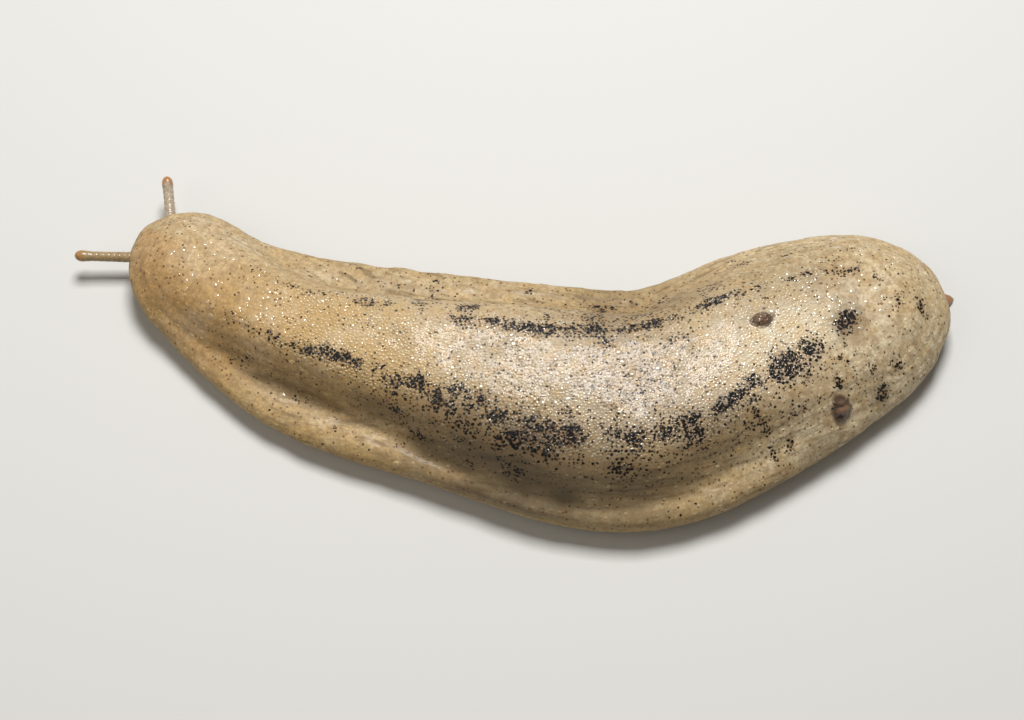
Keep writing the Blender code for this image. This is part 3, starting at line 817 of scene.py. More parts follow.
@dataclass(frozen=True)
class MantleFinish:
    """Live slug skin, finely granular, leathery and wet with slime.

    The eye sees tan skin clouded with gold and cream, a cream stripe between two lines of black specks, and a
    film of slime that breaks into many small glints on the grains. Its colour also holds washes of painted
    shade, painted light and painted sheen.

    Attributes:
        name: Name of the material.
        valley_brown_and_shade: How brown the skin is between its grains, with painted shade in the grooves of
            its bump.
        grain_mm: Size of a grain, and so on for the other sizes in millimetres.
        specks: Layers of black pigment.
        pores: The fine brown dots all over.
        flank: Ground colour, which the other colours are laid over.
        ragged_reach: How far the edges of the black dots wander, as a share of ragged_mm.
        streak_stretch: Turns of the streaks' noise for each millimetre along, across and down.
        skin_ior: Under bare skin's usual 1.40, because slime covers the skin.
        slime_ior: Over slime's own 1.34, so that the glints are as bright as real ones look.
    """

    name: str
    valley_brown_and_shade: float
    grain_mm: float = 0.30
    gold_mm: float = 1.6
    cloud_mm: float = 4.5
    ragged_mm: float = 0.22
    specks: tuple[DotLayer, ...] = (
        DotLayer("pigment", cell=0.26, share=0.85, radius=0.36, growth=0.22),
        DotLayer("pigment", cell=0.36, share=0.95, radius=0.36, growth=0.30),
    )
    pores: DotLayer = DotLayer("freckle", cell=0.55, share=1.0, radius=0.20, growth=0.10)
    flank: str = "B79F72"
    stripe: str = "AD9870"
    hood: str = "B48A54"
    brim: str = "B09868"
    rear: str = "CFBA90"
    ash_and_sheen: str = "B9AEA2"
    underside: str = "C9B48E"
    gold: str = "C29F66"
    pale: str = "E6DCC4"
    honey: str = "B8924E"
    cream: str = "E8DAB8"
    blotch: str = "8F7142"
    shade_khaki: str = "3A3322"
    streak: str = "6E5C3C"
    brown: str = "7A5530"
    pore: str = "5E3F24"
    rust: str = "6A4C38"
    black: str = "14100E"
    brown_black_shade: str = "2A2019"
    pebble_mm: float = 0.72
    blotch_mm: float = 0.9
    fine_mm: float = 0.16
    bump_mm: float = 0.05
    ragged_reach: float = 0.9
    streak_stretch: tuple[float, float, float] = (0.22, 1.6, 1.0)
    skin_ior: float = 1.25
    slime_ior: float = 1.62
    roughness: float = 0.60
    wet_roughness: float = 0.28
    coat_roughness: float = 0.07
    zones: tuple[str, ...] = (
        "stripe", "warmth", "rim", "tail", "below", "rust", "pigment", "freckle", "tone", "gloss", "khaki_and_shade",
        "streaky", "smooth", "ash_and_sheen", "soot_and_shade", "honey", "cream",
    )

    def dots(
        self,
        tree: bpy.types.NodeTree,
        place: Source,
        density: Source,
        layer: DotLayer,
    ) -> bpy.types.Node:
        """Adds one layer of dots.

        Args:
            tree: Tree of the material.
            place: Places that the dots are laid out by, in metres.
            density: How many cells hold a dot, from 0 to 1.
            layer: Sizes of the dots.

        Returns:
            Node that gives 1 inside a dot and 0 outside.
        """
        cells = add_node(tree, "ShaderNodeTexVoronoi", {"Vector": place, "Scale": scale_of(layer.cell)})
        lot = add_node(tree, "ShaderNodeSeparateColor", {"Color": cells.outputs["Color"]})
        odds = add_node(tree, "ShaderNodeMath", {0: density, 1: layer.share}, operation="MULTIPLY")
        chosen = add_node(tree, "ShaderNodeMath", {0: lot.outputs["Green"], 1: odds}, operation="LESS_THAN")
        grown = add_node(
            tree, "ShaderNodeMath", {0: density, 1: -layer.growth, 2: cells}, operation="MULTIPLY_ADD"
        )
        varied = add_node(
            tree, "ShaderNodeMath", {0: lot.outputs["Red"], 1: 0.4 * layer.radius, 2: grown},
            operation="MULTIPLY_ADD",
        )
        inside = add_node(
            tree, "ShaderNodeMapRange",
            {"Value": varied, "From Min": 1.45 * layer.radius, "From Max": 0.75 * layer.radius},
        )
        return add_node(tree, "ShaderNodeMath", {0: chosen, 1: inside}, operation="MULTIPLY")

    def material(self) -> bpy.types.Material:
        """Builds the material.

        Returns:
            The material, which reads the zones of the skin that it is on.
        """
        material, tree, shader = new_material(self.name)
        place = add_node(tree, "ShaderNodeTexCoord").outputs["Object"]
        zone = {
            name: add_node(tree, "ShaderNodeAttribute", attribute_name=name).outputs["Fac"]
            for name in self.zones
        }
        flow = add_node(tree, "ShaderNodeAttribute", attribute_name="flow").outputs["Vector"]

        def noise(where: Source, scale: float, low: float, high: float, most: float) -> Source:
            """Cloudy share from 0 to most, where the noise rises from low to high.

            Args:
                where: Places that the noise is read at.
                scale: Scale of the noise.
                low: Value under which the share is 0.
                high: Value over which the share is most.
                most: The largest share.

            Returns:
                Node that gives the share.
            """
            cloud = add_node(
                tree, "ShaderNodeTexNoise", {"Vector": where, "Scale": scale, "Detail": 4.0, "Roughness": 0.6}
            )
            limits = {"Value": cloud, "From Min": low, "From Max": high, "To Max": most}
            return add_node(tree, "ShaderNodeMapRange", limits, interpolation_type="SMOOTHSTEP")

        grain = add_node(tree, "ShaderNodeTexVoronoi", {"Vector": place, "Scale": scale_of(self.grain_mm)})
        # Brown between the grains, partly painted shade in the grooves of the bump.
        between = add_node(
            tree, "ShaderNodeMapRange",
            {"Value": grain, "From Min": 0.30, "From Max": 0.75, "To Max": self.valley_brown_and_shade},
        )
        shift = add_node(
            tree, "ShaderNodeTexNoise", {"Vector": place, "Scale": scale_of(self.ragged_mm), "Detail": 1.0}
        ).outputs["Color"]
        shift = add_node(tree, "ShaderNodeVectorMath", {0: shift, 1: (0.5, 0.5, 0.5)}, operation="SUBTRACT")
        shift = add_node(
            tree, "ShaderNodeVectorMath", {0: shift, "Scale": self.ragged_reach * self.ragged_mm * MM},
            operation="SCALE",
        )
        ragged = add_node(tree, "ShaderNodeVectorMath", {0: place, 1: shift}, operation="ADD")
        long_flow = add_node(
            tree, "ShaderNodeVectorMath", {0: flow, 1: self.streak_stretch}, operation="MULTIPLY"
        )
        pebbles = add_node(
            tree, "ShaderNodeTexVoronoi", {"Vector": place, "Scale": scale_of(self.pebble_mm)}
        )
        # Painted shade in the gaps between the soft pebbles of the bump.
        pebble_gap_shade = add_node(
            tree, "ShaderNodeMapRange",
            {"Value": pebbles, "From Min": 0.30, "From Max": 0.70, "To Max": 0.26},
        )
        layers = [
            (zone["stripe"], 1.0, self.stripe),
            # Warm gold hood, made paler towards its right side as painted sheen.
            (zone["warmth"], 1.0, self.hood),
            (zone["rim"], 1.0, self.brim),
            (zone["tail"], 1.0, self.rear),
            (zone["honey"], 0.55, self.honey),
            # Greyish skin together with painted sheen along the stripe.
            (zone["ash_and_sheen"], 1.0, self.ash_and_sheen),
            # Cream skin, partly painted light on the flanks, the rim and the hood.
            (zone["cream"], 1.0, self.cream),
            (zone["below"], 1.0, self.underside),
            (noise(place, scale_of(self.gold_mm), 0.42, 0.66, 0.50), 1.0, self.gold),
            (noise(place, scale_of(self.cloud_mm), 0.48, 0.70, 0.20), 1.0, self.pale),
            (noise(place, scale_of(self.blotch_mm), 0.44, 0.62, 0.40), zone["smooth"], self.blotch),
            # Painted shade between the pebbles, in the streak colour.
            (pebble_gap_shade, zone["smooth"], self.streak),
            (noise(long_flow, 1.0, 0.50, 0.68, 0.75), zone["streaky"], self.streak),
            # Olive-brown mottling with painted shade on the flanks and the rim.
            (zone["khaki_and_shade"], 1.0, self.shade_khaki),
            (zone["pigment"], 0.42, self.brown),
            (zone["tone"], 0.16, self.pale),
            # Brown skin and painted shade between the grains.
            (between, 1.0, self.brown),
            (self.dots(tree, place, zone["freckle"], self.pores), 0.80, self.pore),
            (zone["rust"], 1.0, self.rust),
            # Sooty brown with painted shade in the wart's low furrows.
            (zone["soot_and_shade"], 1.0, self.brown_black_shade),
        ]
        layers += [(self.dots(tree, ragged, zone[dot.zone], dot), 1.0, self.black) for dot in self.specks]
        shares = [
            add_node(tree, "ShaderNodeMath", {0: cover, 1: strength}, operation="MULTIPLY")
            for cover, strength, _ in layers
        ]
        colour = laid_over(tree, self.flank, [(share, row[2]) for share, row in zip(shares, layers)])
        tree.links.new(colour, shader.inputs["Base Color"])

        rough = add_node(
            tree, "ShaderNodeMapRange",
            {"Value": zone["gloss"], "To Min": self.roughness, "To Max": self.wet_roughness},
        )
        tree.links.new(rough.outputs[0], shader.inputs["Roughness"])
        fine = add_node(
            tree, "ShaderNodeTexNoise", {"Vector": place, "Scale": scale_of(self.fine_mm), "Detail": 2.0}
        )
        relief = add_node(tree, "ShaderNodeMath", {0: fine, 1: 0.5, 2: grain}, operation="MULTIPLY_ADD")
        fineness = add_node(
            tree, "ShaderNodeMapRange", {"Value": zone["smooth"], "To Min": 1.0, "To Max": 0.25}
        )
        fine_part = add_node(tree, "ShaderNodeMath", {0: relief, 1: fineness}, operation="MULTIPLY")
        soft_part = add_node(tree, "ShaderNodeMath", {0: pebbles, 1: zone["smooth"]}, operation="MULTIPLY")
        relief = add_node(
            tree, "ShaderNodeMath", {0: soft_part, 1: 0.45, 2: fine_part}, operation="MULTIPLY_ADD"
        )
        bump = add_node(
            tree, "ShaderNodeBump", {"Height": relief, "Strength": 0.3, "Distance": self.bump_mm * MM},
            invert=True,
        )
        tree.links.new(bump.outputs["Normal"], shader.inputs["Normal"])
        tree.links.new(zone["gloss"], shader.inputs["Coat Weight"])
        shader.inputs["IOR"].default_value = self.skin_ior
        shader.inputs["Coat Roughness"].default_value = self.coat_roughness
        shader.inputs["Coat IOR"].default_value = self.slime_ior
        return material


@dataclass
class MantleSkin:
    """The skin of the whole back plate, above and below, in one closed mesh."""

    station_step: float = 0.25
    nose_columns: int = 36
    tail_columns: int = 44
    over: int = 74
    under: int = 24
    sink: float = 0.05
    swell: float = 0.16
    wrinkle: float = 0.045
    margin: float = 0.02
    nodes: tuple[str, ...] = ("notum_front", "notum_fore", "notum_hind", "notum_rear")
    piece: bpy.types.Object = field(init=False, repr=False, default=None)

    def build(self) -> bpy.types.Object:
        """Lofts the skin, writes its zones and shapes its relief.

        Returns:
            The undressed skin.
        """
        points, faces, places = self.loft()
        self.piece = mesh_object("mantle_skin", points, faces)
        mesh = self.piece.data
        points, normals = points_of(mesh), vectors_of(mesh, "normal")
        station, across, below, unwrap = places.T[0], places.T[1], places.T[2], places[:, 3:]
        zones = self.zones(points, station, across, below)
        move_points(mesh, points + normals * self.relief(points, station, across, below)[:, None])
        for name, values in zones.items():
            write_attribute(mesh, name, values)
        write_attribute(mesh, "unwrap", np.column_stack([unwrap, np.zeros(len(unwrap))]))
        return self.piece

    def loft(self) -> tuple[np.ndarray, list, np.ndarray]:
        """Points, faces, and each point's station, across, underside share and unwrapped place.

        Returns:
            Points in millimetres, vertex numbers of each face, and the five values of each point.
        """
        low, high = PLAN.ridge_ends
        nose_turns = np.linspace(0.5 * math.pi, 0, self.nose_columns, endpoint=False)
        tail_turns = np.linspace(0, 0.5 * math.pi, self.tail_columns + 1)[1:]
        nose = [PLAN.front_round * (1 - math.sin(turn)) for turn in nose_turns]
        tail = [PLAN.length - PLAN.rear_round * (1 - math.sin(turn)) for turn in tail_turns]
        straight = np.linspace(low, high, round((high - low) / self.station_step) + 1)
        stations = np.array([*nose, *straight, *tail])
        tall = self.over + self.under - 1
        count = len(stations)
        share = np.concatenate([np.linspace(0, 1, self.over), np.linspace(1, 0, self.under)[1:]])
        below = np.concatenate([np.zeros(self.over), np.ones(self.under - 1)])

        grids, places = [], []
        for side in Side:
            grid = np.array([PLAN.column(s, side, self.over, self.under) for s in stations])
            grids.append(grid)
            reach = np.array([PLAN.half_width(s) for s in stations])
            pole = np.clip(stations, low, high)
            lengthwise = pole[:, None] + (stations - pole)[:, None] * share
            sideways = side.value * reach[:, None] * share / max(v for _, v in PLAN.half_widths)
            u = self.margin + (1 - 2 * self.margin) * lengthwise / PLAN.length
            v = 0.5 + (0.5 - self.margin) * sideways
            row = [np.repeat(stations, tall).reshape(count, tall), side.value * np.tile(share, (count, 1))]
            row += [np.tile(below, (count, 1)), u, v]
            places.append(np.stack(row, axis=-1))

        number = np.arange(2 * count * tall).reshape(2, count, tall)
        number[1, :, 0], number[1, :, -1] = number[0, :, 0], number[0, :, -1]
        number[1, 0], number[1, -1] = number[0, 0], number[0, -1]
        first, last = len(nose), len(nose) + len(straight) - 1
        for end in (0, -1):
            number[:, :first, end] = number[0, first, end]
            number[:, last + 1 :, end] = number[0, last, end]
        quads = []
        for half in number:
            corners = [half[:-1, :-1], half[:-1, 1:], half[1:, 1:], half[1:, :-1]]
            quads += np.stack(corners, axis=-1).reshape(-1, 4).tolist()
        used, faces = np.unique(np.array(quads), return_inverse=True)
        faces = [list(dict.fromkeys(face)) for face in faces.reshape(-1, 4).tolist()]
        faces = [face for face in faces if len(face) > 2]
        points = np.concatenate(grids).reshape(-1, 3)[used]
        return points, faces, np.concatenate(places).reshape(-1, 5)[used]

    def zones(
        self, points: np.ndarray, station: np.ndarray, across: np.ndarray, below: np.ndarray
    ) -> dict[str, np.ndarray]:
        """Works out the markings, and the washes of painted shade and painted light, at each point.

        Args:
            points: Places in millimetres.
            station: Stations of the columns.
            across: Signed shares of the half width.
            below: 1 on the underside.

        Returns:
            A value from 0 to 1 for each point, by the name of the zone.
        """
        above, edge = 1 - below, np.abs(across)
        wander = 0.04 * soft_noise(points, 5.0, 3) + 0.02 * soft_noise(points, 1.6, 4)
        left = read_table(LEFT_LINE_PLACE, station)
        right = read_table(RIGHT_LINE_PLACE, station)
        inside = ease((across - left + wander) / 0.10 + 0.5) * ease((right - across + wander) / 0.14 + 0.5)
        stripe = above * inside * rising(station, 9, 14) * ease((PLAN.length - 4 - station) / 12 + 0.4)

        pigment = np.zeros(len(points))
        for row in LEFT_LINE + RIGHT_LINE + FLANK_PATCHES + SCATTERS:
            pigment = 1 - (1 - pigment) * (1 - Mark(*row).share(points))
        ragged = 1 + 0.45 * soft_noise(points, 0.8, 5) + 0.25 * soft_noise(points, 2.2, 6)
        pigment = above * np.clip(pigment * ragged + 0.012, 0, 1)

        freckle = 0.42 + 0.08 * rising(station, 14, 12) + 0.18 * soft_noise(points, 4.0, 7)
        freckle += 0.15 * np.exp(-(((station - 52) / 16) ** 2)) * inside
        brown, soot_and_shade = np.zeros(len(points)), np.zeros(len(points))
        for wart in WARTS:
            raised, covered = wart.lift(points)
            brown = np.maximum(brown, above * covered)
            soot_and_shade = np.maximum(soot_and_shade, above * covered * wart.soot_and_shade(raised))
        rim = rising(edge, 0.80, 0.16) * above + 0.6 * below * rising(edge, 0.85, 0.1)
        khaki_and_shade, ash_and_sheen, cream = (
            np.max([Mark(*row).share(points) for row in rows], axis=0) for rows in (KHAKI_AND_PAINTED_SHADE, ASH_AND_PAINTED_SHEEN, CREAM_AND_PAINTED_LIGHT)
        )
        honey = falling(station, 44, 14) * rising(station, 1, 8) * falling(across, 0.50, 0.55)
        wet = rising(station, 13, 12) * falling(station, 84, 12) * falling(edge, 0.55, 0.2)
        wet *= above * (0.75 + 0.35 * soft_noise(points, 3.0, 8))
        lateral = PLAN.aside(station, across)
        milestones = np.linspace(0, PLAN.length, 200)
        ways = np.array([PLAN.middle(milestone)[1] for milestone in milestones])
        along = [np.interp(station, milestones, ways[:, k]) for k in (0, 1)]
        ends = falling(station, 22, 8) + rising(station, 74, 8)
        sunny = rising(across, -0.50, 0.30) * falling(across, 0.85, 0.20)
        return {
            "stripe": stripe,
            # Warm gold hood; the fall towards the right side is painted sheen.
            "warmth": above * falling(station, 28, 18) * (1 - 0.75 * rising(across, -0.25, 0.6)),
            "rim": rim,
            "tail": above * rising(station, 62, 16) * (1 - 0.6 * stripe),
            "below": below * (1 - rising(edge, 0.85, 0.12)),
            "rust": 0.92 * brown,
            # Sooty brown and painted shade in the warts' furrows.
            "soot_and_shade": 0.65 * soot_and_shade,
            # Greyish skin mixed with painted sheen.
            "ash_and_sheen": above * ash_and_sheen * (0.8 + 0.3 * soft_noise(points, 2.0, 10)),
            "pigment": pigment,
            "freckle": np.clip(freckle, 0, 1),
            "tone": np.full(len(points), 0.35),
            "wet": np.clip(wet, 0, 1),
            "gloss": 0.05 + 0.15 * np.clip(wet, 0, 1) + 0.4 * brown,
            # Painted shade on the flanks and the rim, mixed with olive-brown mottling.
            "khaki_and_shade": above * khaki_and_shade * (1 + 0.25 * soft_noise(points, 2.5, 9)),
            "streaky": above * (1 - stripe) * rising(edge, 0.40, 0.15) * (1 - 0.7 * ends),
            "honey": above * honey * (0.85 + 0.3 * soft_noise(points, 3.0, 20)),
            # Cream skin mixed with painted light.
            "cream": above * cream * (0.8 + 0.3 * soft_noise(points, 1.6, 21)),
            "flow": np.column_stack([station, lateral, 7 * below]),
            "along": np.column_stack([*along, 0 * station]),
            "ends": above * np.clip(ends, 0, 1) * sunny,
            "smooth": above * np.clip(ends + 1 - inside, 0, 1),
            "coated": above,
        }

    def relief(
        self, points: np.ndarray, station: np.ndarray, across: np.ndarray, below: np.ndarray
    ) -> np.ndarray:
        """How far each point moves along its normal, in millimetres.

        Args:
            points: Places in millimetres.
            station: Stations of the columns.
            across: Signed shares of the half width.
            below: 1 on the underside.

        Returns:
            The distance for each point.
        """
        above = 1 - below
        raised = self.swell * (0.6 * soft_noise(points, 6.0, 11) + 0.4 * soft_noise(points, 3.0, 12))
        raised += 0.035 * soft_noise(points, 1.3, 13) + 0.012 * soft_noise(points, 0.7, 14)
        rim = rising(np.abs(across), 0.78, 0.2)
        raised += rim * (0.10 * soft_noise(points, 2.0, 15) + 0.05 * soft_noise(points, 1.0, 16))
        inner = rising(across, 0.5, 0.12) * rising(station, 16, 10) * falling(station, 84, 12) * above
        lateral = PLAN.aside(station, across)
        folds = np.sin(math.tau * lateral / 0.85 + 3.0 * soft_noise(points, 3.5, 17))
        raised += inner * self.wrinkle * folds * (0.5 + 0.5 * soft_noise(points, 3.0, 18))
        outer = rising(-across, 0.45, 0.15) * rising(across, -0.92, 0.1) * above
        raised += outer * 0.03 * np.sin(math.tau * lateral / 1.3 + 4.0 * soft_noise(points, 4.0, 19))
        for wart in WARTS:
            raised += above * wart.lift(points)[0]
        return raised * (0.4 + 0.6 * above) - self.sink

    def finish(self) -> None:
        """Dresses the skin."""
        finish = MantleFinish("wet_mantle_skin_leathery", valley_brown_and_shade=0.30)
        dress(self.piece, finish.material(), "notum_skin", *self.nodes)
        drop_attributes(self.piece.data, "unwrap", "along", "coated", "wet", "ends")


@dataclass
class GranuleCoat:
    """The small rounded granules, close together on the stripe and sparse on the rest of the back.

    Attributes:
        skin: The finished back's skin, which the granules stand on.
        spacing: Least distance between two granules.
        radius: Middle radius of a granule.
        grand: Middle radius of one of the few grand granules, which always glint.
        height: A granule's height as a share of its radius, on the stripe.
        low: The same on the smooth hood, flanks and rear.
        stretch: Its length along the body as a share of its width.
        sparseness: Share of the granules that the smooth parts keep.
        patch: Size of a granule's patch on the unwrapped skin.
        seed: Number that picks their places.
        most_per_mm2: Most granules for each square millimetre, before the spacing thins them.
        sunk: How deep a granule's middle lies in the skin, as a share of its height.
        bars: The lot, from 0 to 1, that a grand granule has to pass: on the back, and at the ends.
        stretches: The coat's pieces, each with the shares of the unwrapped length that it covers.
    """

    skin: bpy.types.Object
    spacing: float = 0.29
    radius: float = 0.17
    grand: float = 0.32
    height: float = 0.34
    low: float = 0.22
    stretch: float = 1.25
    sparseness: float = 0.08
    patch: float = 0.003
    seed: int = 8
    most_per_mm2: float = 30.0
    sunk: float = 0.40
    bars: tuple[float, float] = (0.985, 0.25)
    stretches: dict[str, tuple[float, float]] = field(
        default_factory=lambda: {
            "granules_front": (0.0, 0.26),
            "granules_fore": (0.26, 0.42),
            "granules_middle": (0.42, 0.56),
            "granules_hind": (0.56, 0.72),
            "granules_rear": (0.72, 1.01),
        }
    )

    def bed(self, name: str, start: float, end: float) -> bpy.types.Object:
        """Copy of the upper skin between two shares of its unwrapped length.

        Args:
            name: Name of the copy.
            start: Share where it starts.
            end: Share where it ends.

        Returns:
            The copy, linked to the scene.
        """
        mesh = self.skin.data
        shape = bmesh.new()
        shape.from_mesh(mesh)
        unwrap = shape.verts.layers.float_vector["unwrap"]
        coated = shape.verts.layers.float["coated"]
        outside = [
            face for face in shape.faces
            if not start <= face.verts[0][unwrap].x < end or min(v[coated] for v in face.verts) < 0.5
        ]
        bmesh.ops.delete(shape, geom=outside, context="FACES")
        part = bpy.data.meshes.new(name)
        shape.to_mesh(part)
        shape.free()
        return add_object(name, part)

    def tree(self, material: bpy.types.Material) -> bpy.types.NodeTree:
        """Builds the node tree that scatters granules over a bed of skin.

        Args:
            material: Material of the granules.

        Returns:
            The tree, with named inputs for the granules' sizes.
        """
        tree = bpy.data.node_groups.new("granule_coat", "GeometryNodeTree")
        tree.interface.new_socket("Skin", in_out="INPUT", socket_type="NodeSocketGeometry")
        for name in ("Spacing", "Radius", "Grand", "Height", "Low", "Stretch", "Patch", "Most", "Sunk"):
            tree.interface.new_socket(name, in_out="INPUT", socket_type="NodeSocketFloat")
        tree.interface.new_socket("Seed", in_out="INPUT", socket_type="NodeSocketInt")
        tree.interface.new_socket("Coat", in_out="OUTPUT", socket_type="NodeSocketGeometry")
        given = add_node(tree, "NodeGroupInput").outputs
        share = {
            name: add_node(tree, "GeometryNodeInputNamedAttribute", {"Name": name}, data_type="FLOAT")
            for name in ("smooth", "ends", "wet")
        }
        along = add_node(
            tree, "GeometryNodeInputNamedAttribute", {"Name": "along"}, data_type="FLOAT_VECTOR"
        )

        density = add_node(
            tree, "ShaderNodeMapRange", {"Value": share["smooth"], "To Min": 1.0, "To Max": self.sparseness}
        )
        roots = add_node(
            tree, "GeometryNodeDistributePointsOnFaces",
            {"Mesh": given["Skin"], "Distance Min": given["Spacing"], "Density Max": given["Most"],
             "Density Factor": density, "Seed": given["Seed"]},
            distribute_method="POISSON",
        )
        lots = {}
        limits = {
            "size": (0.75, 1.2), "tone": (0.0, 1.0), "rare": (0.0, 1.0), "shine": (0.2, 1.3),
            "rise": (0.7, 1.7),
        }
        for extra, (name, (low, high)) in enumerate(limits.items(), start=1):
            lots[name] = add_node(
                tree, "FunctionNodeRandomValue", {2: low, 3: high, "Seed": extra}, data_type="FLOAT"
            ).outputs[1]
        bar = add_node(
            tree, "ShaderNodeMapRange",
            {"Value": share["ends"], "To Min": self.bars[0], "To Max": self.bars[1]},
        )
        grand = add_node(tree, "ShaderNodeMath", {0: lots["rare"], 1: bar}, operation="GREATER_THAN")
        filmed = add_node(tree, "ShaderNodeMath", {0: share["wet"], 1: lots["shine"]}, operation="MULTIPLY")
        gloss = add_node(tree, "ShaderNodeMath", {0: filmed, 1: grand}, operation="MAXIMUM")
        points = roots
        for name, value in (("tone", lots["tone"]), ("gloss", gloss)):
            points = add_node(
                tree, "GeometryNodeStoreNamedAttribute",
                {"Geometry": points, "Name": name, "Value": value}, data_type="FLOAT", domain="POINT",
            )
        growth = add_node(
            tree, "ShaderNodeMapRange", {"Value": grand, "To Min": given["Radius"], "To Max": given["Grand"]}
        )
        size = add_node(tree, "ShaderNodeMath", {0: lots["size"], 1: growth}, operation="MULTIPLY")
        steep = add_node(
            tree, "ShaderNodeMapRange",
            {"Value": share["smooth"], "To Min": given["Height"], "To Max": given["Low"]},
        )
        slope = add_node(tree, "ShaderNodeMath", {0: steep, 1: lots["rise"]}, operation="MULTIPLY")
        tall = add_node(tree, "ShaderNodeMath", {0: size, 1: slope}, operation="MULTIPLY")
        long = add_node(tree, "ShaderNodeMath", {0: size, 1: given["Stretch"]}, operation="MULTIPLY")
        scale = add_node(tree, "ShaderNodeCombineXYZ", {"X": long, "Y": size, "Z": tall})
        turned = add_node(
            tree, "FunctionNodeAlignRotationToVector",
            {"Rotation": roots.outputs["Rotation"], "Vector": along}, axis="X", pivot_axis="Z",
        )
        depth = add_node(tree, "ShaderNodeMath", {0: given["Sunk"], 1: -1.0}, operation="MULTIPLY")
        drop = add_node(tree, "ShaderNodeCombineXYZ", {"Z": depth})
        dome = add_node(tree, "GeometryNodeMeshIcoSphere", {"Radius": 1.0, "Subdivisions": 2})
        sunk = add_node(tree, "GeometryNodeTransform", {"Geometry": dome, "Translation": drop})
        smooth = add_node(tree, "GeometryNodeSetShadeSmooth", {"Geometry": sunk})
        own = add_node(
            tree, "GeometryNodeStoreNamedAttribute",
            {"Geometry": smooth, "Name": "own_place", "Value": add_node(tree, "GeometryNodeInputPosition")},
            data_type="FLOAT_VECTOR", domain="POINT",
        )
        stood = add_node(
            tree, "GeometryNodeInstanceOnPoints",
            {"Points": points, "Instance": own, "Rotation": turned, "Scale": scale},
        )
        real = add_node(tree, "GeometryNodeRealizeInstances", {"Geometry": stood})
        read = {
            name: add_node(
                tree, "GeometryNodeInputNamedAttribute", {"Name": name}, data_type="FLOAT_VECTOR"
            )
            for name in ("own_place", "unwrap")
        }
        half = add_node(tree, "ShaderNodeMath", {0: given["Patch"], 1: 0.5}, operation="MULTIPLY")
        patch = add_node(
            tree, "ShaderNodeVectorMath", {0: read["own_place"], "Scale": half}, operation="SCALE"
        )
        root = add_node(tree, "ShaderNodeVectorMath", {0: patch, 1: read["unwrap"]}, operation="ADD")
        baked = add_node(
            tree, "GeometryNodeStoreNamedAttribute",
            {"Geometry": real, "Name": "OFBake", "Value": root}, data_type="FLOAT2", domain="CORNER",
        )
        dressed = add_node(tree, "GeometryNodeSetMaterial", {"Geometry": baked, "Material": material})
        add_node(tree, "NodeGroupOutput", {"Coat": dressed})
        return tree

    def build(self) -> None:
        """Makes and dresses the coat, one piece for each stretch of the back."""
        material = MantleFinish("wet_skin_granules", valley_brown_and_shade=0.0).material()
        tree = self.tree(material)
        sockets = {item.name: item.identifier for item in tree.interface.items_tree}
        sizes = {
            "Spacing": self.spacing * MM,
            "Radius": self.radius * MM,
            "Grand": self.grand * MM,
            "Height": self.height,
            "Low": self.low,
            "Stretch": self.stretch,
            "Patch": self.patch,
            "Most": self.most_per_mm2 / MM**2,
            "Sunk": self.sunk,
            "Seed": self.seed,
        }
        for name, (start, end) in self.stretches.items():
            piece = self.bed(name, start, end)
            modifier = piece.modifiers.new("granules", "NODES")
            modifier.node_group = tree
            for label, value in sizes.items():
                modifier[sockets[label]] = value
            apply_modifiers(piece)
            drop_attributes(piece.data, "own_place", "unwrap", "along", "coated", "wet", "ends")
            dress(piece, material, "notum_skin")


